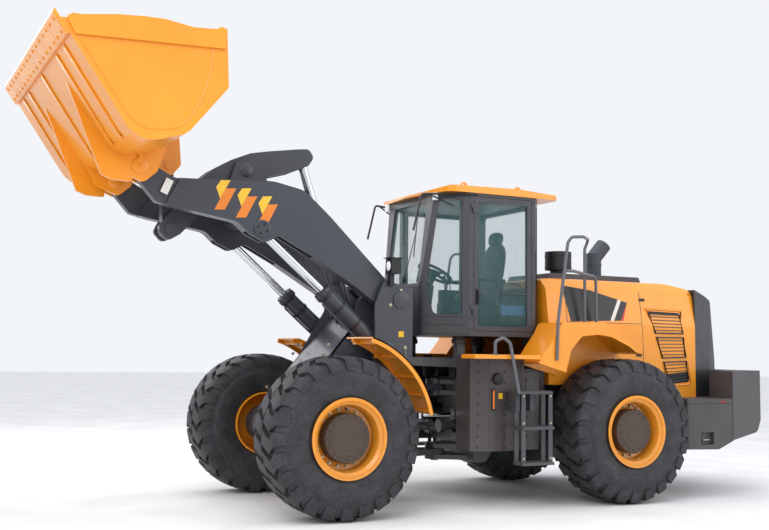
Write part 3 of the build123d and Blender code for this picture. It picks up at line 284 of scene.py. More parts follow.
def piece(name, shapes, finish, body, bevel=0.0, smooth=40, stands_for=()):
    """Makes one object from shapes, welds it, turns its faces outwards and hangs it on a body."""
    points, faces = joined(shapes)
    mesh = bpy.data.meshes.new(name)
    mesh.from_pydata(points.tolist(), [], faces)
    bm = bmesh_of(mesh)
    bmesh.ops.remove_doubles(bm, verts=bm.verts, dist=WELD)
    bmesh.ops.dissolve_degenerate(bm, edges=bm.edges, dist=SLIVER)
    bmesh.ops.recalc_face_normals(bm, faces=bm.faces)
    bm.to_mesh(mesh)
    bm.free()
    obj = bpy.data.objects.new(name, mesh)
    bpy.context.scene.collection.objects.link(obj)
    mesh.materials.append(finish)
    if smooth:
        mesh.shade_smooth()
        mesh.set_sharp_from_angle(angle=radians(smooth))
    if bevel:
        modifier = obj.modifiers.new("edges", "BEVEL")
        modifier.width = bevel * MM
        modifier.segments = 2
        modifier.limit_method = "ANGLE"
        modifier.angle_limit = radians(35)
    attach(obj, body)
    if stands_for:
        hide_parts(*stands_for)
    return obj


def bmesh_of(mesh):
    """An editable copy of a mesh."""
    bm = bmesh.new()
    bm.from_mesh(mesh)
    return bm


# ---------------------------------------------------------------- finishes
def linear(code):
    """Linear colour of an sRGB hex value: each channel through the sRGB curve."""
    channels = [int(code[i:i + 2], 16) / 255 for i in (0, 2, 4)]
    return [c / 12.92 if c <= 0.04045 else ((c + 0.055) / 1.055) ** 2.4 for c in channels] + [1]


def add(tree, kind, values=None, links=None):
    """Adds one node: values are its own settings or its inputs', links feed its inputs."""
    node = tree.nodes.new(kind)
    for name, value in (values or {}).items():
        if isinstance(name, str) and hasattr(node, name):
            setattr(node, name, value)
        else:
            node.inputs[name].default_value = value
    for name, source in (links or {}).items():
        tree.links.new(source, node.inputs[name])
    return node


def new_finish(name):
    """An empty node material with its output, and Object coordinates in metres."""
    material = bpy.data.materials.new(name)
    material.use_nodes = True
    tree = material.node_tree
    tree.nodes.clear()
    output = add(tree, "ShaderNodeOutputMaterial")
    place = add(tree, "ShaderNodeTexCoord").outputs["Object"]
    return material, tree, output, place


def ramp(tree, source, low, high, first, second):
    """Mixes two colours as source goes from low to high."""
    node = add(tree, "ShaderNodeValToRGB", links={"Fac": source})
    node.color_ramp.elements[0].position = low
    node.color_ramp.elements[1].position = high
    node.color_ramp.elements[0].color = first
    node.color_ramp.elements[1].color = second
    return node.outputs["Color"]


def painted(name, hue, dusty, rough, coat, peel_mm=9, dust=0.25, metallic=0.0, bump=0.03):
    """Sprayed finish: wide soft colour drift, fine peel in the gloss, and dust low down."""
    material, tree, output, place = new_finish(name)
    drift = add(tree, "ShaderNodeTexNoise", {"Scale": 1 / 0.9, "Detail": 3.0},
                {"Vector": place}).outputs["Fac"]
    base = linear(hue)
    tinted = [channel * 0.88 for channel in base[:3]] + [1]
    colour = ramp(tree, drift, 0.35, 0.7, tinted, base)
    grime = add(tree, "ShaderNodeTexNoise", {"Scale": 1 / 0.12, "Detail": 6.0,
                                             "Roughness": 0.65}, {"Vector": place}).outputs["Fac"]
    height = add(tree, "ShaderNodeSeparateXYZ", links={"Vector": place}).outputs["Z"]
    low = add(tree, "ShaderNodeMapRange", {"From Min": 1.6, "From Max": 0.1, "To Min": 0.0,
                                           "To Max": 1.0}, {"Value": height}).outputs["Result"]
    film = add(tree, "ShaderNodeMath", {"operation": "MULTIPLY"}, {0: low, 1: grime})
    amount = add(tree, "ShaderNodeMath", {"operation": "MULTIPLY", 1: dust * 2},
                 {0: film.outputs[0]}).outputs[0]
    mixed = add(tree, "ShaderNodeMix", {"data_type": "RGBA"})
    tree.links.new(amount, mixed.inputs[0])
    tree.links.new(colour, mixed.inputs[6])
    mixed.inputs[7].default_value = linear(dusty)
    gloss = add(tree, "ShaderNodeMapRange", {"From Min": 0.3, "From Max": 0.7,
                                             "To Min": rough - 0.05, "To Max": rough + 0.09},
                {"Value": grime}).outputs["Result"]
    peel = add(tree, "ShaderNodeTexNoise", {"Scale": 1000 / peel_mm, "Detail": 1.0},
               {"Vector": place}).outputs["Fac"]
    relief = add(tree, "ShaderNodeBump", {"Strength": bump, "Distance": 0.001},
                 {"Height": peel}).outputs["Normal"]
    shader = add(tree, "ShaderNodeBsdfPrincipled", {"Metallic": metallic, "Coat Weight": coat,
                                                    "Coat Roughness": 0.12},
                 {"Base Color": mixed.outputs[2], "Roughness": gloss, "Normal": relief})
    tree.links.new(shader.outputs[0], output.inputs[0])
    return material


def rubber(name, hue, dusty, rough=0.72, scuff=0.5):
    """Vulcanised rubber: dust in wide patches, fine scuffs, a grainy skin."""
    material, tree, output, place = new_finish(name)
    patches = add(tree, "ShaderNodeTexNoise", {"Scale": 1 / 0.16, "Detail": 8.0,
                                               "Roughness": 0.6}, {"Vector": place}).outputs["Fac"]
    streaks = add(tree, "ShaderNodeTexNoise", {"Scale": 1 / 0.02, "Detail": 4.0,
                                               "Distortion": 1.5}, {"Vector": place}).outputs["Fac"]
    both = add(tree, "ShaderNodeMath", {"operation": "MULTIPLY"}, {0: patches, 1: streaks})
    colour = ramp(tree, both.outputs[0], 0.16, 0.16 + scuff * 0.5, linear(hue), linear(dusty))
    grain = add(tree, "ShaderNodeTexNoise", {"Scale": 1 / 0.006, "Detail": 2.0},
                {"Vector": place}).outputs["Fac"]
    relief = add(tree, "ShaderNodeBump", {"Strength": 0.12, "Distance": 0.002},
                 {"Height": grain}).outputs["Normal"]
    shader = add(tree, "ShaderNodeBsdfPrincipled", {"Roughness": rough},
                 {"Base Color": colour, "Normal": relief})
    tree.links.new(shader.outputs[0], output.inputs[0])
    return material


def bare_metal(name, hue, rough, streak_mm=3.0, stretch=(1, 1, 1)):
    """Polished or plated steel: fine machining streaks in its roughness."""
    material, tree, output, place = new_finish(name)
    stretched = add(tree, "ShaderNodeMapping", {"Scale": stretch}, {"Vector": place})
    streaks = add(tree, "ShaderNodeTexNoise", {"Scale": 1000 / streak_mm, "Detail": 2.0},
                  {"Vector": stretched.outputs[0]}).outputs["Fac"]
    gloss = add(tree, "ShaderNodeMapRange", {"To Min": rough * 0.7, "To Max": rough * 1.4},
                {"Value": streaks}).outputs["Result"]
    shader = add(tree, "ShaderNodeBsdfPrincipled", {"Base Color": linear(hue), "Metallic": 1.0},
                 {"Roughness": gloss})
    tree.links.new(shader.outputs[0], output.inputs[0])
    return material


def cast(name, hue, rough, grain_mm=5.0, depth=0.25):
    """Painted casting: a sandy skin that the paint doesn't level."""
    material, tree, output, place = new_finish(name)
    sand = add(tree, "ShaderNodeTexNoise", {"Scale": 1000 / grain_mm, "Detail": 3.0},
               {"Vector": place}).outputs["Fac"]
    drift = add(tree, "ShaderNodeTexNoise", {"Scale": 1 / 0.35, "Detail": 4.0},
                {"Vector": place}).outputs["Fac"]
    base = linear(hue)
    colour = ramp(tree, drift, 0.3, 0.7, [c * 0.78 for c in base[:3]] + [1], base)
    relief = add(tree, "ShaderNodeBump", {"Strength": depth, "Distance": 0.0015},
                 {"Height": sand}).outputs["Normal"]
    shader = add(tree, "ShaderNodeBsdfPrincipled", {"Roughness": rough},
                 {"Base Color": colour, "Normal": relief})
    tree.links.new(shader.outputs[0], output.inputs[0])
    return material


def moulded(name, hue, rough, grain_mm=2.5):
    """Moulded plastic: an even fine grain with a low sheen."""
    material, tree, output, place = new_finish(name)
    grain = add(tree, "ShaderNodeTexVoronoi", {"Scale": 1000 / grain_mm},
                {"Vector": place}).outputs["Distance"]
    fade = add(tree, "ShaderNodeTexNoise", {"Scale": 1 / 0.25, "Detail": 3.0},
               {"Vector": place}).outputs["Fac"]
    base = linear(hue)
    colour = ramp(tree, fade, 0.3, 0.75, [c * 0.85 for c in base[:3]] + [1], base)
    relief = add(tree, "ShaderNodeBump", {"Strength": 0.15, "Distance": 0.0005},
                 {"Height": grain}).outputs["Normal"]
    shader = add(tree, "ShaderNodeBsdfPrincipled", {"Roughness": rough},
                 {"Base Color": colour, "Normal": relief})
    tree.links.new(shader.outputs[0], output.inputs[0])
    return material


def cloth(name, hue, second, thread_mm=7.0):
    """Woven seat cloth: two crossed thread waves, drawn coarse enough to show."""
    material, tree, output, place = new_finish(name)
    bands = []
    for direction in ("X", "Y"):
        wave = add(tree, "ShaderNodeTexWave", {"bands_direction": direction,
                                               "Scale": 1000 / thread_mm / 20,
                                               "Distortion": 0.4}, {"Vector": place})
        bands.append(wave.outputs["Fac"])
    crossed = add(tree, "ShaderNodeMath", {"operation": "MAXIMUM"}, {0: bands[0], 1: bands[1]})
    colour = ramp(tree, crossed.outputs[0], 0.2, 0.8, linear(second), linear(hue))
    relief = add(tree, "ShaderNodeBump", {"Strength": 0.3, "Distance": 0.001},
                 {"Height": crossed.outputs[0]}).outputs["Normal"]
    shader = add(tree, "ShaderNodeBsdfPrincipled", {"Roughness": 0.9, "Sheen Weight": 0.3},
                 {"Base Color": colour, "Normal": relief})
    tree.links.new(shader.outputs[0], output.inputs[0])
    return material


def glazing(name, tint, clear=0.72):
    """Tinted flat glass: mostly see-through with its own tint, and a sharp reflection."""
    material, tree, output, place = new_finish(name)
    ripple = add(tree, "ShaderNodeTexNoise", {"Scale": 1 / 0.5, "Detail": 1.0},
                 {"Vector": place}).outputs["Fac"]
    gloss = add(tree, "ShaderNodeMapRange", {"To Min": 0.01, "To Max": 0.05},
                {"Value": ripple}).outputs["Result"]
    shader = add(tree, "ShaderNodeBsdfPrincipled", {"Base Color": linear(tint), "IOR": 1.45,
                                                    "Alpha": 1 - clear}, {"Roughness": gloss})
    tree.links.new(shader.outputs[0], output.inputs[0])
    return material


def lens(name, hue, painted_glow=0.0, rough=0.12):
    """Moulded lamp lens: clear plastic over a reflector, with fine fluting; its emission is a painted glow that
    stands in for light off the reflector.
    """
    material, tree, output, place = new_finish(name)
    flutes = add(tree, "ShaderNodeTexWave", {"bands_direction": "Y", "Scale": 8.0},
                 {"Vector": place}).outputs["Fac"]
    relief = add(tree, "ShaderNodeBump", {"Strength": 0.25, "Distance": 0.002},
                 {"Height": flutes}).outputs["Normal"]
    shader = add(tree, "ShaderNodeBsdfPrincipled",
                 {"Base Color": linear(hue), "Roughness": rough, "Coat Weight": 0.6,
                  # emission: painted glow, standing in for light off the reflector behind the lens
                  "Emission Color": linear(hue), "Emission Strength": painted_glow},
                 {"Normal": relief})
    tree.links.new(shader.outputs[0], output.inputs[0])
    return material


def striped(name, first, second, third, low, high):
    """Film with a broad and a thin slanted band between dark ends, placed along the hood."""
    material, tree, output, place = new_finish(name)
    split = add(tree, "ShaderNodeSeparateXYZ", links={"Vector": place})
    slant = add(tree, "ShaderNodeMath", {"operation": "MULTIPLY", 1: 0.55},
                {0: split.outputs["Z"]})
    along = add(tree, "ShaderNodeMath", {"operation": "ADD"},
                {0: split.outputs["X"], 1: slant.outputs[0]}).outputs[0]
    share = add(tree, "ShaderNodeMapRange", {"From Min": low, "From Max": high},
                {"Value": along}).outputs["Result"]
    node = add(tree, "ShaderNodeValToRGB", links={"Fac": share})
    node.color_ramp.interpolation = "CONSTANT"
    marks = [(0.0, first), (0.07, second), (0.24, first), (0.30, third), (0.33, first)]
    for position, colour in marks[1:]:
        node.color_ramp.elements.new(position)
    node.color_ramp.elements.remove(node.color_ramp.elements[-1])
    for element, (position, colour) in zip(node.color_ramp.elements, marks):
        element.position = position
        element.color = linear(colour)
    shader = add(tree, "ShaderNodeBsdfPrincipled", {"Roughness": 0.35},
                 {"Base Color": node.outputs["Color"]})
    tree.links.new(shader.outputs[0], output.inputs[0])
    return material


FINISHES = {}


def make_finishes(colours):
    """Every finish, by the name that nodes and pieces ask for."""
    FINISHES.update({
        "orange_paint": painted("orange enamel, sprayed", colours.orange, "9A7A52", 0.30, 0.35),
        "machine_grey": painted("blue-grey enamel, sprayed", colours.grey, "6E675F", 0.38, 0.15),
        "cab_grey": painted("cab grey enamel", "38383E", "6E675F", 0.42, 0.1),
        "dark_grey_paint": painted("near-black enamel", "27282C", "5A554E", 0.4, 0.15),
        "weight_paint": cast("painted iron casting", "4A4648", 0.5, 9.0, 0.2),
        "tank_paint": painted("warm grey enamel", "3A3435", "6E6458", 0.36, 0.25),
        "rail_grey": painted("rail grey enamel", "5C5F66", "77736C", 0.4, 0.1),
        "chrome_rod": bare_metal("hard chrome, ground", "D5D8DC", 0.12),
        "tyre": rubber("tyre rubber, dusty", colours.tyre, "4C4C52", 0.6, 0.9),
        "cast_grey": cast("machinery casting, painted", "2B2C30", 0.55),
        "dark_plastic": moulded("dark grey moulding", "4A4A50", 0.6),
        "black_plastic": moulded("black moulding", "1B1B1E", 0.5),
        "black_paint": painted("black enamel tube", "16171A", "3A3A3A", 0.35, 0.2),
        "exhaust_grey": painted("heat-proof grey paint", "3F424B", "5A5650", 0.5, 0.0),
        "tinted_glass": glazing("green-tinted cab glass", "5F8E92", 0.86),
        "seat_fabric": cloth("woven seat cloth", "3B4A52", "1E262B"),
        # the number after each lens colour is its painted glow
        "lamp_white": lens("clear lamp lens", "E8ECEE", 0.25),
        "lamp_black": moulded("black lamp housing", "131416", 0.35),
        "hub_brown": cast("hub cover casting, brown enamel", "4A3C33", 0.48, 6.0, 0.15),
        "bolt": bare_metal("zinc-plated bolt, passivated", "B9B29A", 0.38),
        "dark_bolt": cast("painted bolt head", "232429", 0.45),
        "orange_bolt": painted("painted bolt head, orange", colours.orange, "9A7A52", 0.35, 0.2),
        "hose": rubber("hydraulic hose rubber", "17181A", "3C3B3A", 0.55, 0.3),
        "pipe_steel": bare_metal("steel pipe, zinc plated", "A9ABAE", 0.3),
        "stripe_yellow": painted("yellow film", "F2C230", "A08A50", 0.3, 0.3),
        "stripe_orange": painted("orange film", "E8821E", "A08A50", 0.3, 0.3),
        "label_white": painted("white film, blank", "E4E4E2", "A8A49C", 0.4, 0.1),
        "label_yellow": painted("yellow film, blank", "E8B800", "A08A50", 0.4, 0.1),
        "lamp_red": lens("red lamp lens", "8E1512", 0.1),
        "lamp_amber": lens("amber lamp lens", "D8741A", 0.1),
        "mesh_black": cast("perforated sheet, black", "0E0F11", 0.6, 14.0, 1.0),
        "hood_film": striped("dark film with a red and a pale sweep", "1C1B1E", "C0271C",
                             "D9D4CE", pivot_x - 1.30, pivot_x + 0.35),
        "grip": moulded("black grip", "101113", 0.45),
        "blue_trim": moulded("blue cab moulding", "2E5C86", 0.5),
    })


def dress_nodes():
    """Each CAD node takes the finish of its slot in the record."""
    for entry in frame["record"]["materials"]:
        slot = entry["slot"]
        for name in entry.get("nodes", entry.get("parts", [])):
            if name in frame["nodes"]:
                put_finish(frame["nodes"][name], slot)
    for name, node in frame["nodes"].items():
        old = [holder.material.name.split(".")[0] for holder in node.material_slots
               if holder.material]
        if old and old[0] in FINISHES:
            put_finish(node, old[0])


def put_finish(node, slot):
    """Swaps the materials of a CAD node, its mesh untouched."""
    for holder in node.material_slots:
        holder.material = FINISHES[slot]


# ---------------------------------------------------------------- front machine
nose_top = (1160, 1945)                # upper and lower end of the nose plate, (x, z)
nose_low = (1985, 955)
nose_thick, nose_wide = 26, 830
axle_x, axle_height = 1700, 778
fender_arc = (1003, 107, 168)          # radius round the axle, first and last degree
fender_sides = (665, 1280)             # inner and outer edge, from the middle
fender_sheet, fender_lip = 14, 52      # thickness, and how far the lips reach inwards
fender_ribs = (112, 128, 144, 156, 166)
rib_half_turn = 0.006                  # radians


def cut_nose(bm):
    """Cuts the inner plates off along the nose plate and closes the cuts."""
    slope = np.array(nose_low, float) - np.array(nose_top)
    across = Vector((-slope[1], 0, slope[0])).normalized()
    corner = Vector(at(nose_top[0], 0, nose_top[1]))
    bmesh.ops.remove_doubles(bm, verts=bm.verts, dist=WELD)
    everything = bm.verts[:] + bm.edges[:] + bm.faces[:]
    bmesh.ops.bisect_plane(bm, geom=everything, plane_co=corner, plane_no=(1, 0, 0))
    ahead = [f for f in bm.faces if f.calc_center_median().x > corner.x + SLIVER]
    parts = set(ahead) | {e for f in ahead for e in f.edges} | {v for f in ahead for v in f.verts}
    bmesh.ops.bisect_plane(bm, geom=list(parts), plane_co=corner, plane_no=across)
    beyond = [f for f in bm.faces if f.calc_center_median().x > corner.x + SLIVER
              and (f.calc_center_median() - corner).dot(across) > SLIVER]
    bmesh.ops.delete(bm, geom=beyond, context="FACES")
    open_edges = [e for e in bm.edges if len(e.link_faces) == 1]
    bmesh.ops.holes_fill(bm, edges=open_edges, sides=0)
    bmesh.ops.recalc_face_normals(bm, faces=bm.faces)


def arc_points(radius, first, last, count):
    """(x, z) points on an arc round the front axle, between two angles in degrees."""
    angles = [radians(first + (last - first) * k / (count - 1)) for k in range(count)]
    return [(axle_x + radius * cos(a), axle_height + radius * sin(a)) for a in angles]


class LOADER_OT_front(bpy.types.Operator):
    """Front frame with its sloping nose plate, and the front fenders with lips and ribs"""
    bl_idname = "loader.front"
    bl_label = "Front frame"

    def execute(self, context):
        node = frame["nodes"]["front_frame"]
        bm = bmesh_of(node.data)
        bm.transform(node.matrix_world)
        cut_nose(bm)
        bm.normal_update()
        points = np.array([v.co[:] for v in bm.verts])
        bm.verts.index_update()
        faces = [[v.index for v in f.verts] for f in bm.faces]
        bm.free()
        piece("front_frame_plates", [(points, faces)], FINISHES["machine_grey"], "front_body",
              smooth=30, stands_for=["front_frame"])
        (x0, z0), (x1, z1) = nose_top, nose_low
        length = ((x1 - x0) ** 2 + (z1 - z0) ** 2) ** 0.5
        dx, dz = (z0 - z1) / length * nose_thick, (x1 - x0) / length * nose_thick
        nose = slab([(x0, z0), (x1, z1), (x1 - dx, z1 - dz), (x0 - dx, z0 - dz)], nose_wide,
                    flat_at(0))
        piece("nose_plate", [nose], FINISHES["machine_grey"], "front_body", bevel=3)
        radius, first, last = fender_arc
        low, high = fender_sides
        middle, count = (low + high) / 2, 33
        outer = arc_points(radius, first, last, count)
        inner = arc_points(radius - fender_sheet, first, last, count)
        lip_end = arc_points(radius - fender_lip, first, last, count)
        sheets = [slab(outer + inner[::-1], high - low, flat_at(middle)),
                  slab(outer + lip_end[::-1], 14, flat_at(high - 7)),
                  slab(inner + lip_end[::-1], 8, flat_at(low + 150))]
        for angle in fender_ribs:
            a = radians(angle)
            ring_in, ring_out = radius - fender_lip + 6, radius - fender_sheet + 2
            rib = [(axle_x + r * cos(a + t), axle_height + r * sin(a + t))
                   for r, t in ((ring_out, -rib_half_turn), (ring_out, rib_half_turn),
                                (ring_in, rib_half_turn), (ring_in, -rib_half_turn))]
            sheets.append(slab(rib, high - low - 30, flat_at(middle)))
        heads = [stud(at(x, high - 40, z), (x - axle_x, 0, z - axle_height), 9, 4)
                 for x, z in arc_points(radius, first + 5, last - 8, 4)]
        piece("fender_bolts", both_sides(heads), FINISHES["orange_bolt"], "front_body")
        piece("fender_sheets", both_sides(sheets), FINISHES["orange_paint"], "front_body",
              smooth=30, stands_for=["front_fenders"])
        return {"FINISHED"}


# ---------------------------------------------------------------- wheels
wheel_bodies = ("front_left", "front_right", "rear_left", "rear_right")


def wheel_place(label):
    """Middle of a wheel, from its tyre's box, and the side it faces, from its name."""
    low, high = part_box("tyre_" + label)
    centre = (low + high) / 2
    outwards = 1.0 if label.endswith("left") else -1.0
    return np.array(centre), outwards


TYRE_LUGS = 24
wall_beads = ((456, 289), (576, 296.5))  # radius, out from the middle
hub_cover = [  # out from the middle, radius
    (100, 236), (226, 236), (240, 226), (240, 196), (246, 190), (246, 172), (251, 168),
    (251, 118), (255, 114), (255, 0.01)]
hub_bolts = (  # ring radius, how many, out from the middle, first turn, head radius, height
    (205, 16, 239, 0.0, 11, 9), (145, 8, 250, 0.0, 7, 5), (70, 1, 254, 2.2, 15, 8))
nut_ring, nut_height = (268, 18, 112), 26
lock_ring = [(290, 350), (301, 354), (301, 362), (294, 368)]
lock_groove = [(266, 332), (269, 338), (269, 344), (266, 349)]
tyre_carcass = [  # out from the middle, radius
    (-232, 350), (-258, 362), (-268, 392), (-284, 430), (-294, 500), (-297, 556), (-293, 600),
    (-286, 612), (-286, 632), (-277, 668), (-262, 706), (-235, 733), (-120, 742), (0, 744),
    (120, 742), (235, 733), (262, 706), (277, 668), (286, 632), (286, 612), (293, 600),
    (297, 556), (294, 500), (284, 430), (268, 392), (258, 362), (232, 350), (170, 352),
    (-170, 352), (-232, 350)]
lug_path = [  # out from the middle, radius, lead in pitches, half width in pitches, depth
    (8, 777, -0.10, 0.34, 40), (70, 777, 0.04, 0.34, 40), (128, 776, 0.18, 0.34, 41),
    (178, 773, 0.30, 0.34, 42), (222, 768, 0.12, 0.34, 44), (262, 752, -0.02, 0.33, 44),
    (284, 716, -0.06, 0.33, 36), (293, 676, -0.06, 0.32, 28), (296, 640, -0.06, 0.30, 12)]


def tyre_lugs(centre, outwards):
    """Tread blocks: a trapezoid carried out from the middle and down over each shoulder."""
    rows = np.array(lug_path)
    pitch = 2 * pi / TYRE_LUGS
    out, radius = rows[:, 0] * MM, rows[:, 1] * MM
    lead, half, depth = rows[:, 2] * pitch, rows[:, 3] * pitch, rows[:, 4] * MM
    slope = unit(np.stack([np.gradient(rows[:, 0]), np.gradient(rows[:, 1])], 1))
    inward_out, inward_radius = slope[:, 1] * depth, -slope[:, 0] * depth
    shapes = []
    section = np.array([(-1.1, 1), (-0.98, 0), (0.98, 0), (1.1, 1)])
    for side in (1, -1):
        for index in range(TYRE_LUGS):
            start = (index + (0.5 if side < 0 else 0)) * pitch
            angle = start + side * outwards * lead[:, None] + section[None, :, 0] * half[:, None]
            deep = section[None, :, 1]
            reach = radius[:, None] + inward_radius[:, None] * deep
            across = out[:, None] + inward_out[:, None] * deep
            points = np.stack([centre[0] + reach * np.sin(angle),
                               centre[1] + outwards * side * across,
                               centre[2] + reach * np.cos(angle)], -1).reshape(-1, 3)
            faces = grid_faces(len(rows), 4, wrap_columns=True)
            faces += [[0, 1, 2, 3], [len(points) - 4 + k for k in (3, 2, 1, 0)]]
            shapes.append((points, faces))
    return shapes


class LoaderColours(bpy.types.PropertyGroup):
    """Colours that a user would change, as sRGB hex values."""
    orange: bpy.props.StringProperty(name="Orange", description="Main enamel, sRGB hex",
                                     default="F49A1E")
    grey: bpy.props.StringProperty(name="Grey", description="Boom and frame enamel, sRGB hex",
                                   default="3B3E46")
    tyre: bpy.props.StringProperty(name="Tyre", description="Tyre rubber, sRGB hex",
                                   default="1E1E21")


class LoaderSizes(bpy.types.PropertyGroup):
    """Sizes that a user would change."""
    nut: bpy.props.FloatProperty(name="Wheel nut", description="Half width of a wheel nut",
                                 default=0.015, min=0.008, max=0.03, unit="LENGTH")
    hose: bpy.props.FloatProperty(name="Hose", description="Radius of a hydraulic hose",
                                  default=0.013, min=0.005, max=0.03, unit="LENGTH")


def sizes():
    """The scene's size settings."""
    return bpy.context.scene.loader_sizes


def bolts(places, direction, radius, height):
    """A bolt head at each place, all facing one way."""
    return [stud(place, direction, radius, height) for place in places]


class LOADER_OT_tyres(bpy.types.Operator):
    """Tyres with rounded walls and deep tread blocks"""
    bl_idname = "loader.tyres"
    bl_label = "Tyres"

    def execute(self, context):
        for label in wheel_bodies:
            centre, outwards = wheel_place(label)
            wall = [(row[0] * outwards, row[1]) for row in tyre_carcass]
            shapes = [lathe(wall, centre, LEFT, 120)]
            for radius, out in wall_beads:
                shapes.append(lathe([(out - 4, radius - 7), (out, radius - 4), (out, radius + 4),
                                     (out - 4, radius + 7)], centre, LEFT * outwards, 96))
            shapes += tyre_lugs(centre, outwards)
            piece("tread_" + label, shapes, FINISHES["tyre"], "wheel_" + label, smooth=32,
                  stands_for=["tyre_" + label])
        return {"FINISHED"}


class LOADER_OT_hubs(bpy.types.Operator):
    """Hub covers, their bolts, the wheel nuts, the rims' lock rings and valves"""
    bl_idname = "loader.hubs"
    bl_label = "Hub covers"

    def execute(self, context):
        for label in wheel_bodies:
            centre, outwards = wheel_place(label)
            axis = LEFT * outwards
            body = "wheel_" + label

            def ring(radius, count, out, phase=0.0):
                """Places evenly round the axle, on a circle in millimetres."""
                turn = np.linspace(0, 2 * pi, count, endpoint=False) + phase
                return [centre + axis * out * MM
                        + np.array([cos(t) * radius, 0, sin(t) * radius]) * MM for t in turn]

            heads = [head for radius, count, out, phase, size, height in hub_bolts
                     for head in bolts(ring(radius, count, out, phase), axis, size, height)]
            piece("hub_cover_" + label, [lathe(hub_cover, centre, axis, 64)] + heads,
                  FINISHES["hub_brown"], body, bevel=1.5)
            piece("wheel_nuts_" + label, bolts(ring(*nut_ring), axis, sizes().nut / MM, nut_height),
                  FINISHES["bolt"], body)
            valve = [centre + axis * out * MM + UP * up * MM
                     for out, up in ((150, 285), (230, 275), (262, 250))]
            piece("valve_" + label, [tube(valve, 5, 20)], FINISHES["black_plastic"], body)
            piece("lock_ring_" + label, [lathe(lock_ring, centre, axis, 72),
                                         lathe(lock_groove, centre, axis, 72)],
                  FINISHES["orange_bolt"], body)
        return {"FINISHED"}


# ---------------------------------------------------------------- bucket and boom
def plate_on(place, along, up, out, corners, thickness):
    """Thin plate on a surface: corners (u, v) in millimetres from place along two directions."""
    return slab(corners, thickness,
                lambda u, v, offset: np.asarray(place) + (u * along + v * up + offset * out) * MM)


floor_face = -180.0                    # outer face of the bucket's floor, from its pin
edge_start, edge_end = 1262, 1462      # bolt-on edge, along the floor
edge_count, edge_gap = 8, 3


class LOADER_OT_bucket(bpy.types.Operator):
    """Bolt-on edge, cutter bolts, side beads, skids, stays and pin keepers of the bucket"""
    bl_idname = "loader.bucket"
    bl_label = "Bucket fittings"

    def execute(self, context):
        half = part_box("bucket")[1].y / MM
        segments, edge = [], []
        width = 2 * (half - 30) / edge_count
        for index in range(edge_count):
            y = -half + 30 + (index + 0.5) * width
            segments.append(slab(rectangle(edge_start, -width / 2 + edge_gap,
                                           edge_end, width / 2 - edge_gap), 5,
                                 lambda u, v, offset, y=y: on_bucket(u, floor_face - 31 + offset,
                                                                     y + v)))
            for dy in (-width / 4, width / 4):
                for u in (1300, 1425):
                    edge.append(on_bucket(u, floor_face - 32, y + dy))
        piece("edge_segments", segments, FINISHES["orange_paint"], "bucket", bevel=2)
        piece("edge_bolts", bolts(edge, -FLOOR_UP, 17, 10), FINISHES["orange_bolt"], "bucket")
        side_bolts = []
        for sign in (1, -1):
            for u, v in ((1290, 30), (1180, 215), (1070, 400)):
                side_bolts.append(stud(on_bucket(u, v, sign * (half - 6.5)), LEFT * sign, 20, 6))
        piece("cutter_bolts", side_bolts, FINISHES["orange_bolt"], "bucket")
        bead = [on_bucket(u, v, half - 24) for u, v in
                ((640, 1000), (600, 900), (420, 760), (240, 560), (130, 330), (120, 180),
                 (250, -60), (420, -120), (1150, -130))]
        piece("side_beads", both_sides([tube(bead, 7, 120, 8)]), FINISHES["orange_paint"],
              "bucket")
        skids = []
        for y in (-1180, -820, 0, 820, 1180):
            skids.append(slab([(280, floor_face - 1), (1240, floor_face - 1),
                               (1210, floor_face - 16), (320, floor_face - 16)], 60,
                              bucket_at(y)))
        piece("floor_skids", skids, FINISHES["orange_paint"], "bucket", bevel=3)
        stays = [slab([(150, 840), (560, 1080), (600, 1050), (210, 790)], 12, bucket_at(y))
                 for y in (700, -700)]
        piece("spill_stays", stays, FINISHES["orange_paint"], "bucket", bevel=2)
        keepers, keeper_bolts = [], []
        for y, out in ((arm_y + 100, 1), (arm_y - 100, -1), (-arm_y + 100, 1),
                       (-arm_y - 100, -1)):
            place = on_bucket(0, 0, y)
            keepers.append(lathe([(-6, 78), (6, 78), (10, 72), (10, 0.01)], place, LEFT * out,
                                 40))
            keepers.append(plate_on(place + LEFT * out * 8 * MM, FLOOR_ALONG, FLOOR_UP,
                                    LEFT * out, [(-20, 30), (95, 85), (115, 60), (20, -30)], 10))
            keeper_bolts.append(stud(on_bucket(88, 62, y + out * 12), LEFT * out, 14, 9))
            keeper_bolts.append(stud(on_bucket(0, 0, y + out * 10), LEFT * out, 18, 10))
        piece("pin_keepers", keepers, FINISHES["orange_paint"], "bucket", bevel=1.5)
        piece("keeper_bolts", keeper_bolts, FINISHES["orange_bolt"], "bucket")
        return {"FINISHED"}


stripe_yellow = [(2260, 167), (2245, 250), (2158, 296), (2177, 82)]
stripe_orange = [(2183, -44), (2088, 5), (2070, 250), (2166, 199)]


stripe_pitch = (-228, 28)              # along and up from one pair to the next
boom_caps = (((0, 0), 82, 110), ((1660, 7), 88, arm_half))  # place, radius, out from the arm


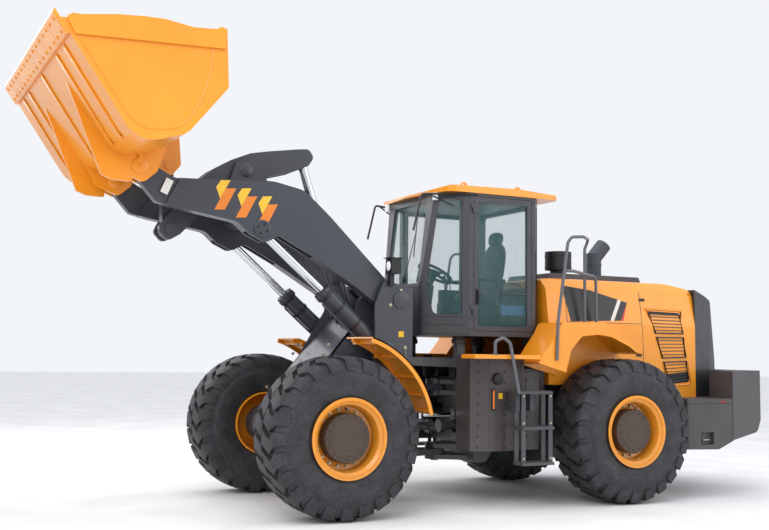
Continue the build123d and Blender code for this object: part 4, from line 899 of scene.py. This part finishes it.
class LOADER_OT_boom(bpy.types.Operator):
    """Pin caps, stripes, a blank label and grease pipes on the boom"""
    bl_idname = "loader.boom"
    bl_label = "Boom fittings"

    def execute(self, context):
        yellow, orange, label, caps, cap_bolts, pipes = [], [], [], [], [], []
        for sign in (1, -1):
            on_face = boom_at(sign * (arm_y + arm_half + 0.8))
            for step in range(3):
                along, up = stripe_pitch[0] * step, stripe_pitch[1] * step
                yellow.append(slab([(u + along, v + up) for u, v in stripe_yellow], 1.2, on_face))
                orange.append(slab([(u + along, v + up) for u, v in stripe_orange], 1.2, on_face))
            label.append(slab([(2735, -130), (2735, 20), (2660, 20), (2660, -130)], 1.2, on_face))
            for (u, v), radius, out in boom_caps:
                place = on_boom(u, v, sign * (arm_y + out))
                caps.append(lathe([(0, radius), (12, radius), (16, radius - 6), (16, radius - 22),
                                   (12, radius - 26), (12, 0.01)], place, LEFT * sign, 40))
                for turn in np.linspace(0.4, 0.4 + 2 * pi, 4, endpoint=False):
                    cap_bolts.append(stud(place + (np.array([cos(turn), 0, sin(turn)])
                                                   * (radius - 38) + LEFT * sign * 12) * MM,
                                          LEFT * sign, 11, 8))
        for sign in (1, -1):
            inner = sign * (arm_y - arm_half - 14)
            for lift in (0, 26):
                pipes.append(tube([on_boom(180, 60 + lift, inner), on_boom(980, 350 + lift, inner),
                                   on_boom(1400, 500 + lift, inner),
                                   on_boom(1700, 455 + lift, inner)], 9, 160))
        piece("stripes_yellow", yellow, FINISHES["stripe_yellow"], "boom", smooth=0)
        piece("stripes_orange", orange, FINISHES["stripe_orange"], "boom", smooth=0)
        piece("arm_labels", label, FINISHES["label_white"], "boom", smooth=0)
        piece("boom_pin_caps", caps, FINISHES["machine_grey"], "boom")
        piece("boom_cap_bolts", cap_bolts, FINISHES["dark_bolt"], "boom")
        piece("boom_pipes", pipes, FINISHES["pipe_steel"], "boom")
        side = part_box("rocker")[1].y
        rocker_caps = [lathe([(-4, 75), (2, 75), (6, 70), (6, 0.01)],
                             np.array([rocker_pin.x, sign * side, rocker_pin.z]), LEFT * sign, 40)
                       for sign in (1, -1)]
        piece("rocker_pin_caps", rocker_caps, FINISHES["machine_grey"], "rocker")
        return {"FINISHED"}


cylinders = (  # name, base pin to gland, gland radius, barrel radius
    ("lift_left", 905, 99, 87), ("lift_right", 905, 99, 87), ("tilt", 1250, 117, 105))
pipe_gap = 34.0                        # a pipe's middle out from its barrel


def cylinder_line(name):
    """Base pin and unit direction of a cylinder, from its joints."""
    base = np.array(joints[name + "_swing"]["pos_m"])
    direction = np.array(joints[name + "_stroke"]["axis"])
    return base, unit(direction)


class LOADER_OT_cylinders(bpy.types.Operator):
    """Gland bolts, ports, pipes and clamps of the lift and tilt cylinders"""
    bl_idname = "loader.cylinders"
    bl_label = "Cylinder fittings"

    def execute(self, context):
        for name, length, gland, barrel in cylinders:
            base, direction = cylinder_line(name)
            first, second = sideways(direction)
            end = base + direction * length * MM
            shapes = [lathe([(-74, gland + 2), (-66, gland + 5), (-30, gland + 5),
                             (-24, gland + 2)], end, direction, 40),
                      lathe([(0, gland - 14), (6, gland - 16), (9, gland - 40), (6, gland - 44)],
                            end, direction, 40)]
            turn = np.linspace(0, 2 * pi, 12, endpoint=False)
            ring = [end + (np.cos(t) * first + np.sin(t) * second) * (gland - 12) * MM
                    for t in turn]
            piece(name + "_gland_bolts", shapes + bolts(ring, direction, 8, 9),
                  FINISHES["dark_bolt"], name + "_barrel")
            out = unit(np.cross(direction, LEFT))
            if out[2] > 0:
                out = -out
            line = []
            for side, start, stop in ((0.35, 150, length - 95), (-0.35, 210, 330)):
                away = unit(out + side * LEFT)
                line.append(tube([base + direction * along * MM + away * (barrel + gap) * MM
                                  for along, gap in ((start, 0), (start, pipe_gap),
                                                     (start + 60, pipe_gap), (stop, pipe_gap),
                                                     (stop + 25, 0))], 11, 30))
            piece(name + "_pipes", line, FINISHES["machine_grey"], name + "_barrel")
            band = [(-14, barrel + 2), (-14, barrel + 7), (14, barrel + 7), (14, barrel + 2)]
            clamps = [lathe(band, base + direction * along * MM, direction, 40)
                      for along in (0.45 * length, 0.72 * length)]
            piece(name + "_clamps", clamps, FINISHES["dark_bolt"], name + "_barrel")
        return {"FINISHED"}


# ---------------------------------------------------------------- front frame
outer_face = 675.0                     # outer face of a tower
tower_pins = ((800, 2140, 92), (950, 1620, 78))  # x, z, radius of the disc
tower_bolts = ((918, 2082), (798, 2240), (741, 1641), (700, 1480), (980, 1480), (1060, 1240),
               (700, 1120))
inner_bolts = ((1560, 1560), (1500, 1660), (1860, 1200))


class LOADER_OT_tower(bpy.types.Operator):
    """Discs, bolts, grease pipes, labels, hoses, axle pads and plates of the front frame"""
    bl_idname = "loader.tower"
    bl_label = "Front frame fittings"

    def execute(self, context):
        discs, heads, labels = [], [], []
        for sign in (1, -1):
            face = sign * outer_face
            for x, z, radius in tower_pins:
                place = at(x, face + sign * 9, z)
                discs.append(lathe([(0, radius), (9, radius), (12, radius - 6), (12, 0.01)],
                                   place, LEFT * sign, 40))
            heads += [stud(at(x, face, z), LEFT * sign, 15, 9) for x, z in tower_bolts]
            labels.append(slab(rectangle(760, 1750, 820, 1810), 1.2, flat_at(face + sign)))
            heads += [stud(at(x, sign * (arm_y - 115), z), LEFT * sign, 14, 9)
                      for x, z in inner_bolts]
        piece("tower_discs", discs, FINISHES["machine_grey"], "front_body")
        piece("tower_bolts", heads, FINISHES["bolt"], "front_body")
        piece("tower_labels", labels, FINISHES["label_yellow"], "front_body", smooth=0)
        grease = []
        for sign in (1, -1):
            y = sign * (outer_face + 6)
            grease.append(tube([at(741, y, 1641), at(735, y, 1500), at(700, y, 1300),
                                at(690, y, 1090)], 4.5, 60, 8))
        piece("grease_pipes", grease, FINISHES["pipe_steel"], "front_body")
        radius = sizes().hose / MM
        hoses = []
        for index, y in enumerate((-150, -50, 50, 150)):
            hoses.append(tube([at(860, y, 1770), at(960, y, 1790 - 10 * index),
                               at(990, y * 1.2, 1620), at(930, y * 1.4, 1420)], radius, 90))
        for sign in (1, -1):
            for step in range(2):
                y = sign * (330 + 36 * step)
                hoses.append(tube([at(620, y * 0.6, 1560), at(720, y, 1900), at(760, y, 2180),
                                   at(900, y, 2290)], radius, 120))
        piece("front_hoses", hoses, FINISHES["hose"], "front_body")
        pads = [box((1560, y - 60, 905), (1840, y + 60, 927)) for y in (400, -400)]
        piece("axle_pads", pads, FINISHES["machine_grey"], "front_body", bevel=2)
        plates = [box((895, y - 4, 670), (1065, y + 4, 885)) for y in (418, -418)]
        piece("side_plates", plates, FINISHES["label_white"], "front_body", bevel=1)
        return {"FINISHED"}


# ---------------------------------------------------------------- cab
class LOADER_OT_cab(bpy.types.Operator):
    """Door furniture, beads, wiper, mounts and bolts of the cab"""
    bl_idname = "loader.cab"
    bl_label = "Cab fittings"

    def execute(self, context):
        face, grip = cab_side + 3, cab_side + 20
        handles = [tube([at(-75, face, 2260), at(-75, grip, 2260), at(-75, grip, 2130),
                         at(-75, face, 2130)], 8, 20),
                   box((-95, cab_side, 2110), (-50, cab_side + 6, 2285))]
        piece("door_handle", handles, FINISHES["grip"], "door", bevel=1.5)
        bead = [box((-745, cab_side + 1, 2240), (-50, cab_side + 4, 2250))]
        piece("door_bead", bead, FINISHES["cab_grey"], "door", bevel=1)
        bars = [tube([at(-660, 735, 2330), at(-640, 700, 2360), at(-240, 700, 2360),
                      at(-220, 735, 2330)], 9, 40)]
        piece("door_grab_bar", bars, FINISHES["grip"], "door")
        wiper = [tube([at(432, 40, 2420), at(425, 120, 2560), at(402, 250, 2900)], 5, 60, 8),
                 sweep([(-3, -9), (3, -9), (3, 9), (-3, 9)],
                       [at(426, 250, 2640), at(400, 250, 2900), at(377, 250, 3150)]),
                 lathe([(-4, 26), (14, 24), (18, 16), (18, 0.01)], at(435, 40, 2400), AHEAD, 24)]
        piece("wiper", wiper, FINISHES["black_paint"], "rear_body")
        mounts = [lathe([(0, 74), (18, 84), (44, 84), (60, 72), (78, 72)], at(x, y, 1692), UP, 40)
                  for x in (20, -900) for y in (560, -560)]
        piece("cab_mounts", mounts, FINISHES["hose"], "rear_body")
        beads = [tube([at(55, sign * (cab_side + 1), z), at(430, sign * 452, z)], 3, 10, 8)
                 for sign in (1, -1) for z in (1800, 1900, 1985)]
        piece("cab_corner_beads", beads, FINISHES["cab_grey"], "rear_body")
        heads = [stud(at(x, sign * cab_side, z), LEFT * sign, 8, 5)
                 for sign in (1, -1) for z in (1850, 1960, 2320, 3270) for x in (-800, 20)]
        piece("cab_bolts", heads, FINISHES["dark_bolt"], "rear_body")
        return {"FINISHED"}


class LOADER_OT_cab_inside(bpy.types.Operator):
    """Seat pads and base, armrests, consoles, levers, knob, dash and trim behind the glass"""
    bl_idname = "loader.cab_inside"
    bl_label = "Inside the cab"

    def execute(self, context):
        seat_x, cab_floor = -560, 1832
        back = unit(np.array([-0.16, 0, 0.987]))
        out = np.cross(LEFT, back)
        pads = [("seat_pad", (at(seat_x + 10, 0, 2225), (240, 235, 62), 16, (AHEAD, LEFT, UP))),
                ("seat_back", (at(seat_x - 205, 0, 2590), (225, 295, 42), 16,
                               (LEFT, back, out))),
                ("seat_headrest", (at(seat_x - 240, 0, 2925), (125, 82, 44), 10,
                                   (LEFT, back, out)))]
        for name, (centre, half, crown, axes) in pads:
            pad = piece(name, [cushion(centre, half, crown, axes)], FINISHES["seat_fabric"],
                        "rear_body", smooth=180,
                        stands_for=["seat"] if name == "seat_pad" else ())
        base = [box((seat_x - 180, -180, cab_floor), (seat_x + 180, 180, 2060)),
                box((seat_x - 225, -225, 2060), (seat_x + 225, 225, 2160))]
        piece("seat_base", base, FINISHES["black_plastic"], "rear_body", bevel=12)
        arms = []
        for sign in (1, -1):
            arms.append(box((seat_x - 190, sign * 265 - 32, 2395),
                            (seat_x + 190, sign * 265 + 32, 2440)))
            arms.append(box((seat_x - 175, sign * 265 - 12, 2180),
                            (seat_x - 110, sign * 265 + 12, 2400)))
        piece("armrests", arms, FINISHES["grip"], "rear_body", bevel=10)
        consoles = [box((-640, -420, cab_floor), (-260, -310, 2330)),
                    box((-700, -520, cab_floor), (-300, -425, 2180))]
        piece("side_consoles", consoles, FINISHES["dark_plastic"], "rear_body", bevel=14)
        levers, lever_y = [], -365
        for foot, top in ((-330, -315), (-400, -390)):
            levers.append(tube([at(foot, lever_y, 2325), at(top, lever_y, 2430)], 6, 10, 8))
            levers.append(lathe([(0, 8), (20, 20), (55, 22), (75, 14), (80, 0.01)],
                                at(top, lever_y, 2425), UP, 20))
        piece("levers", levers, FINISHES["grip"], "rear_body")
        lean, wheel_radius = radians(30), 185
        axis = np.array([-sin(lean), 0, cos(lean)])
        hub = at(20, 0, 2480) + axis * 12.5 * MM
        knob = hub + unit(np.cross(LEFT, axis)) * wheel_radius * MM + axis * 15 * MM
        wheel = [lathe([(0, 14), (20, 22), (40, 18), (46, 0.01)], knob, axis, 20),
                 lathe([(0, 60), (22, 55), (28, 20), (28, 0.01)], hub, axis, 32)]
        piece("steering_knob", wheel, FINISHES["grip"], "rear_body")
        panel = [slab([(120, 2330), (200, 2400), (170, 2540), (140, 2540)], 240, flat_at(0))]
        piece("dash", panel, FINISHES["dark_plastic"], "rear_body", bevel=12)
        trim = [box((-740, 690, 2010), (-420, 715, 2120))]
        piece("blue_trim", trim, FINISHES["blue_trim"], "rear_body", bevel=8)
        return {"FINISHED"}


# ---------------------------------------------------------------- hood and tail
class LOADER_OT_hood(bpy.types.Operator):
    """Film, side grilles, seams and latches of the hood"""
    bl_idname = "loader.hood"
    bl_label = "Hood fittings"

    def execute(self, context):
        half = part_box("hood")[1].y / MM
        bend, lean = 1950, 60.0 / 380.0

        def skin(u, v, offset, sign):
            """Hood side: upright to the bend, then leaning in."""
            y = half - max(0.0, v - bend) * lean
            return at(u, sign * (y + offset), v)

        film, grille, frame_bars, mesh, seams, latches = [], [], [], [], [], []
        for sign in (1, -1):
            film.append(slab([(-1200, 2370), (-1600, 2325), (-2110, 2200), (-2030, 1990),
                              (-1290, 1965)], 1.4,
                             lambda u, v, offset, s=sign: skin(u, v, offset + 1.6, s)))
            outline = [(-2400, 2110), (-2870, 2100), (-2985, 1290), (-2700, 1265)]
            mesh.append(slab(outline, 3, lambda u, v, offset, s=sign: skin(u, v, offset + 2, s)))
            for low, high in ((0.03, 0.30), (0.36, 0.64), (0.70, 0.97)):
                inner = [between(low, outline[0], outline[3]),
                         between(high, outline[0], outline[3]),
                         between(high, outline[1], outline[2]),
                         between(low, outline[1], outline[2])]
                path = [skin(u, v, 6, sign) for u, v in inner]
                grille.append(sweep(rectangle(-7, -7, 7, 7), path, closed=True))
                for share in np.linspace(0.15, 0.85, 5):
                    a = between(share, inner[0], inner[1])
                    b = between(share, inner[3], inner[2])
                    grille.append(sweep(rectangle(-4, -4, 4, 4),
                                        [skin(*a, 5, sign), skin(*b, 5, sign)]))
            path = [skin(u, v, 3, sign) for u, v in
                    ((-2375, 2135), (-2895, 2125), (-3015, 1265), (-2685, 1240))]
            frame_bars.append(sweep(circle(9, 8), path, closed=True))
            for x in (-1240, -2300):
                seams.append(tube([skin(x, 2330, 0.5, sign), skin(x, 1960, 0.5, sign)], 3.5, 10,
                                  6))
            seams.append(tube([skin(-1240, 1958, 0.5, sign), skin(-2300, 1958, 0.5, sign),
                               skin(-2330, 1270, 0.5, sign)], 3.5, 30, 6))
            for x, z in ((-2250, 1600), (-2330, 2240)):
                latches.append(plate_on(skin(x, z, 5, sign), AHEAD, UP, LEFT * sign,
                                        rectangle(-40, -16, 40, 16), 9))
        piece("hood_films", film, FINISHES["hood_film"], "rear_body", smooth=0)
        piece("side_grille_mesh", mesh, FINISHES["mesh_black"], "rear_body", smooth=0)
        piece("side_grille_bars", grille, FINISHES["dark_grey_paint"], "rear_body", bevel=1)
        piece("side_grille_frames", frame_bars, FINISHES["orange_paint"], "rear_body")
        piece("hood_seams", seams, FINISHES["dark_plastic"], "rear_body")
        piece("hood_latches", latches, FINISHES["black_plastic"], "rear_body", bevel=2)
        return {"FINISHED"}


tail_face, tail_bend, tail_lean = -3641, 1390, 140 / 880  # x, and where and how it leans in
lamp_face, lamp_y, lamp_height = -4016, 700, 1320


class LOADER_OT_tail(bpy.types.Operator):
    """Louvres and lamps of the tail, with reflectors, grips, seams and tow pin of the weight"""
    bl_idname = "loader.tail"
    bl_label = "Tail fittings"

    def execute(self, context):
        louvres = []
        for z in np.arange(1480, 2240, 76):
            back = tail_face + max(0, z - tail_bend) * tail_lean
            louvres.append(slab([(back, z), (back - 12, z + 6), (back - 12, z + 34),
                                 (back, z + 40)], 1000, flat_at(0)))
        piece("tail_louvres", louvres, FINISHES["black_paint"], "rear_body", bevel=2)
        lamps, red, amber = [], [], []
        for sign in (1, -1):
            for made, x, y, half_wide, half_high, thick in (
                    (lamps, lamp_face, lamp_y, 110, 50, 26),
                    (red, lamp_face - 15, lamp_y + 40, 55, 35, 6),
                    (amber, lamp_face - 15, lamp_y - 50, 30, 35, 6)):
                made.append(plate_on(at(x, sign * y, lamp_height), LEFT, UP, AHEAD,
                                     rectangle(-half_wide, -half_high, half_wide, half_high),
                                     thick))
            # red reflectors on the weight take the red lens finish, and with it its painted glow
            red.append(slab(rectangle(-3130, 1065, -3050, 1085), 4,
                            flat_at(sign * (weight_side + 1))))
        piece("tail_lamp_boxes", lamps, FINISHES["lamp_black"], "rear_body", bevel=4)
        piece("tail_lamp_red", red, FINISHES["lamp_red"], "rear_body", bevel=1)
        piece("tail_lamp_amber", amber, FINISHES["lamp_amber"], "rear_body", bevel=1)
        grips, seams = [], []
        for sign in (1, -1):
            y, out, face = sign * 1205, sign * 1235, sign * (weight_side + 1)
            grips.append(tube([at(-2900, y, 640), at(-2900, out, 650), at(-2800, out, 650),
                               at(-2800, y, 640)], 6, 15, 8))
            seams.append(tube([at(-3238, face, 680), at(-3238, face, 1425)], 3, 10, 6))
            seams.append(tube([at(-2565, face, 1060), at(-3230, face, 1060)], 3, 10, 6))
        piece("weight_grips", grips, FINISHES["pipe_steel"], "rear_body")
        piece("weight_seams", seams, FINISHES["dark_bolt"], "rear_body")
        pin = [lathe([(0, 24), (220, 24), (228, 16), (228, 0.01)], at(-3985, 0, 740), UP, 24)]
        piece("tow_pin", pin, FINISHES["pipe_steel"], "rear_body")
        return {"FINISHED"}


# ---------------------------------------------------------------- sides
tank_face, box_face = 1041.0, 978.0    # outer faces of the tank and of the box behind it
ladder_steps = ((-690, -300, 480), (-690, -300, 845), (-670, -255, 1210))  # ends, height
ladder_face = 1301


class LOADER_OT_sides(bpy.types.Operator):
    """Tank flanges, bolts, caps and gauges, deck studs, tread teeth, ladder bolts, rail feet"""
    bl_idname = "loader.sides"
    bl_label = "Tank, deck and ladder fittings"

    def execute(self, context):
        flanges, heads, caps, gauge, glass, labels = [], [], [], [], [], []
        for sign in (1, -1):
            flanges.append(slab(rectangle(-70, 600, -60, 1525), 6, facing(tank_face, sign)))
            for z in np.linspace(620, 1510, 9):
                heads.append(stud(at(40, sign * 986, z), unit(np.array([0.2, sign, 0])), 9, 6))
                heads.append(stud(at(-255, sign * (tank_face - 1), z), LEFT * sign, 9, 6))
            caps.append(lathe([(0, 62), (20, 62), (34, 55), (40, 30), (40, 0.01)],
                              at(-165, sign * (tank_face - 1), 1330), LEFT * sign, 36))
            gauge.append(slab(rectangle(-130, 1000, -95, 1230), 12,
                              facing(tank_face + 5, sign)))
            glass.append(slab(rectangle(-122, 1020, -103, 1210), 4,
                              facing(tank_face + 12, sign)))
            labels.append(slab(rectangle(-230, 1120, -180, 1180), 1.2, facing(tank_face, sign)))
            flanges.append(slab(rectangle(-700, 700, -560, 1340), 6, facing(box_face, sign)))
            for x in (-685, -575):
                for z in (720, 930, 1130, 1320):
                    heads.append(stud(at(x, sign * (box_face + 3), z), LEFT * sign, 9, 6))
        piece("tank_flanges", flanges, FINISHES["tank_paint"], "rear_body", bevel=1.5)
        piece("tank_bolts", heads, FINISHES["dark_bolt"], "rear_body")
        piece("tank_caps", caps, FINISHES["black_plastic"], "rear_body")
        piece("gauge_frames", gauge, FINISHES["black_plastic"], "rear_body", bevel=2)
        piece("gauge_glass", glass, FINISHES["lamp_amber"], "rear_body")
        piece("tank_labels", labels, FINISHES["label_yellow"], "rear_body", smooth=0)
        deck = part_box("platforms")[1].z / MM
        pitch = 58
        studs = [lathe([(0, 13), (3, 10), (3, 0.01)], at(x, sign * y, deck), UP, 8)
                 for sign in (1, -1) for x in np.arange(-500, 250, pitch)
                 for y in np.arange(990, 1290, pitch) if x < 60 or y > 960]
        piece("deck_studs", studs, FINISHES["orange_bolt"], "rear_body")
        teeth = [lathe([(0, 10), (5, 9), (5, 5), (1, 4)], at(x, sign * y, z), UP, 8)
                 for x0, x1, z in ladder_steps for sign in (1, -1)
                 for x in np.linspace(x0 + 25, x1 - 25, 12) for y in (1165, 1215, 1265, 1305)]
        piece("tread_teeth", teeth, FINISHES["machine_grey"], "rear_body")
        heads = [stud(at(x, sign * ladder_face, z), LEFT * sign, 10, 7)
                 for sign in (1, -1) for x in (-655, -320) for z in (520, 880, 1160)]
        piece("ladder_bolts", heads, FINISHES["bolt"], "rear_body")
        feet = [lathe([(0, 42), (8, 42), (10, 38), (10, 18)], at(10, y, deck + 0.3), UP, 24)
                for y in (1270, -1270)]
        piece("rail_feet", feet, FINISHES["rail_grey"], "rear_body")
        return {"FINISHED"}


class LOADER_OT_under_cab(bpy.types.Operator):
    """Pipes, filters, valve blocks and hoses between the cab and the frame"""
    bl_idname = "loader.under_cab"
    bl_label = "Machinery under the cab"

    def execute(self, context):
        filters, hoses, steel = [], [], []
        radius = sizes().hose / MM
        shelf = 1330                   # height of what the filters hang on
        for x, y in ((-60, 300), (-150, 330), (-60, -300)):
            filters.append(lathe([(0, 0.01), (0, 40), (8, 46), (190, 46), (200, 52), (236, 52),
                                  (236, 0.01)], at(x, y, shelf), UP, 32))
        blocks = [box((-250, y - 60, shelf - 5), (-110, y + 60, shelf + 100))
                  for y in (200, -200)]
        for sign in (1, -1):
            for index in range(3):
                y = sign * (470 + 30 * index)
                hoses.append(tube([at(-240, sign * 420, 1180 + 30 * index),
                                   at(-160, y, 1240 + 40 * index),
                                   at(-120, y, 1380), at(-200, y, 1420),
                                   at(-420, y, 1400), at(-520, sign * 430, 1340)], radius, 90))
            for start, run, end in ((760, 800, 780), (700, 740, 730)):
                steel.append(tube([at(-250, sign * 450, start), at(-350, sign * 455, run),
                                   at(-600, sign * 455, run), at(-690, sign * 430, end)], 9, 40))
        piece("oil_filters", filters, FINISHES["cast_grey"], "rear_body")
        piece("valve_blocks", blocks, FINISHES["cast_grey"], "rear_body", bevel=6)
        piece("rear_hoses", hoses, FINISHES["hose"], "rear_body")
        piece("rear_pipes", steel, FINISHES["pipe_steel"], "rear_body")
        return {"FINISHED"}


class LOADER_OT_top(bpy.types.Operator):
    """Lamp lenses and rims, roof ribs, exhaust clamps and bands of the pre-cleaner"""
    bl_idname = "loader.top"
    bl_label = "Lamps, roof and stacks"

    def execute(self, context):
        lenses, rims = [], []
        for sign in (1, -1):
            place = at(986, sign * 755, 2480)
            rims.append(lathe([(-8, 62), (4, 62), (7, 56), (3, 50)], place, AHEAD, 40))
            lenses.append(lathe([(0, 52), (6, 40), (9, 20), (10, 0.01)], place, AHEAD, 40))
        piece("headlamp_lenses", lenses, FINISHES["lamp_white"], "front_body")
        piece("headlamp_rims", rims, FINISHES["lamp_black"], "front_body")
        ribs = [slab([(-560, 3401), (150, 3391), (150, 3396), (-560, 3406)], 46, flat_at(y))
                for y in (-520, -260, 0, 260, 520)]
        piece("roof_ribs", ribs, FINISHES["orange_paint"], "rear_body", bevel=3)
        clamps = [lathe([(0, 96), (0, 101), (16, 101), (16, 96)], at(-2335, -150, z), UP, 48)
                  for z in (2560, 2700)]
        piece("exhaust_clamps", clamps, FINISHES["exhaust_grey"], "rear_body")
        bowl_x, bowl_y, bowl_top = -1510, 250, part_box("precleaner")[1].z / MM
        bands = [lathe([(0, 155.5), (3, 159), (13, 159), (16, 155.5)], at(bowl_x, bowl_y, z), UP,
                       56) for z in (2600, 2740)]
        bands.append(lathe([(0, 150), (10, 140), (16, 90), (18, 0.01)],
                           at(bowl_x, bowl_y, bowl_top - 19), UP, 56))
        piece("precleaner_bands", bands, FINISHES["black_plastic"], "rear_body")
        return {"FINISHED"}


# ---------------------------------------------------------------- stage
studio_lamps = (  # name, place, size in metres, watts
    ("key", (7.5, 8.0, 9.0), 7.0, 520), ("fill", (-8.0, 9.0, 6.0), 8.0, 260),
    ("top", (0.0, 0.0, 11.0), 9.0, 420), ("rim", (4.0, -9.0, 7.0), 6.0, 200))
lamp_target = Vector((0, 0, 1.2))
floor_edge = 60                        # metres from the middle
camera_place = Vector((pivot_x + 5.9726, 10.6445, 1.6011))
camera_yaw, camera_pitch, camera_roll = radians(26.261), radians(-5.601), radians(0.818)
camera_lens, camera_shift = 50.21, (0.0063, -0.0248)


class LOADER_OT_stage(bpy.types.Operator):
    """Pale floor, soft studio lamps and the camera"""
    bl_idname = "loader.stage"
    bl_label = "Studio"

    def execute(self, context):
        scene = context.scene
        world = bpy.data.worlds.new("studio")
        world.use_nodes = True
        background = world.node_tree.nodes["Background"]
        background.inputs["Color"].default_value = (0.94, 0.96, 1.0, 1)
        background.inputs["Strength"].default_value = 0.95
        scene.world = world
        scene.view_settings.view_transform = "Standard"
        floor = bpy.data.meshes.new("floor")
        floor.from_pydata([(x, y, 0) for x, y in rectangle(-floor_edge, -floor_edge, floor_edge,
                                                           floor_edge)], [], [(0, 1, 2, 3)])
        ground = bpy.data.objects.new("floor", floor)
        scene.collection.objects.link(ground)
        ground.data.materials.append(painted("studio floor", "F2F2F2", "E6E6E6", 0.8, 0.0,
                                             dust=0.0, bump=0.0))
        for name, place, size, power in studio_lamps:
            light = bpy.data.lights.new(name, "AREA")
            light.shape = "SQUARE"
            light.size = size
            light.energy = power
            lamp = bpy.data.objects.new(name, light)
            lamp.location = place
            lamp.rotation_euler = (lamp_target - Vector(place)).to_track_quat(
                "-Z", "Y").to_euler()
            scene.collection.objects.link(lamp)
        yaw, pitch, roll = camera_yaw, camera_pitch, camera_roll
        ahead = Vector((-sin(yaw) * cos(pitch), -cos(yaw) * cos(pitch), -sin(pitch)))
        right = ahead.cross(Vector((0, 0, 1))).normalized()
        up = right.cross(ahead)
        right, up = right * cos(roll) + up * sin(roll), up * cos(roll) - right * sin(roll)
        data = bpy.data.cameras.new("camera")
        data.sensor_width = 36.0
        data.lens = camera_lens
        data.shift_x, data.shift_y = camera_shift
        data.clip_end = 200
        camera = bpy.data.objects.new("camera", data)
        camera.matrix_world = Matrix.Translation(camera_place) @ (
            Matrix((right, up, -ahead)).transposed().to_4x4())
        scene.collection.objects.link(camera)
        scene.camera = camera
        return {"FINISHED"}


class LOADER_PT_panel(bpy.types.Panel):
    """Lists the loader's pieces"""
    bl_idname = "LOADER_PT_panel"
    bl_label = "Wheel loader"
    bl_space_type = "VIEW_3D"
    bl_region_type = "UI"
    bl_category = "Loader"

    def draw(self, context):
        for group in (context.scene.loader_colours, context.scene.loader_sizes):
            for name in group.__annotations__:
                self.layout.prop(group, name)
        for operator in OPERATORS:
            self.layout.operator(operator.bl_idname)


OPERATORS = (LOADER_OT_stage, LOADER_OT_tyres, LOADER_OT_hubs, LOADER_OT_bucket,
             LOADER_OT_boom, LOADER_OT_cylinders, LOADER_OT_tower, LOADER_OT_front,
             LOADER_OT_cab, LOADER_OT_cab_inside, LOADER_OT_hood, LOADER_OT_tail,
             LOADER_OT_sides, LOADER_OT_under_cab, LOADER_OT_top)
CLASSES = (LoaderColours, LoaderSizes) + OPERATORS + (LOADER_PT_panel,)


def register():
    """Registers the classes and hangs the settings on the scene."""
    for item in CLASSES:
        bpy.utils.register_class(item)
    bpy.types.Scene.loader_colours = bpy.props.PointerProperty(type=LoaderColours)
    bpy.types.Scene.loader_sizes = bpy.props.PointerProperty(type=LoaderSizes)


def unregister():
    """Undoes register."""
    del bpy.types.Scene.loader_sizes
    del bpy.types.Scene.loader_colours
    for item in reversed(CLASSES):
        bpy.utils.unregister_class(item)


def main():
    """Makes every finish and piece in order."""
    register()
    make_finishes(bpy.context.scene.loader_colours)
    dress_nodes()
    for operator in OPERATORS:
        group, name = operator.bl_idname.split(".")
        getattr(getattr(bpy.ops, group), name)()


if __name__ == "__main__":
    main()
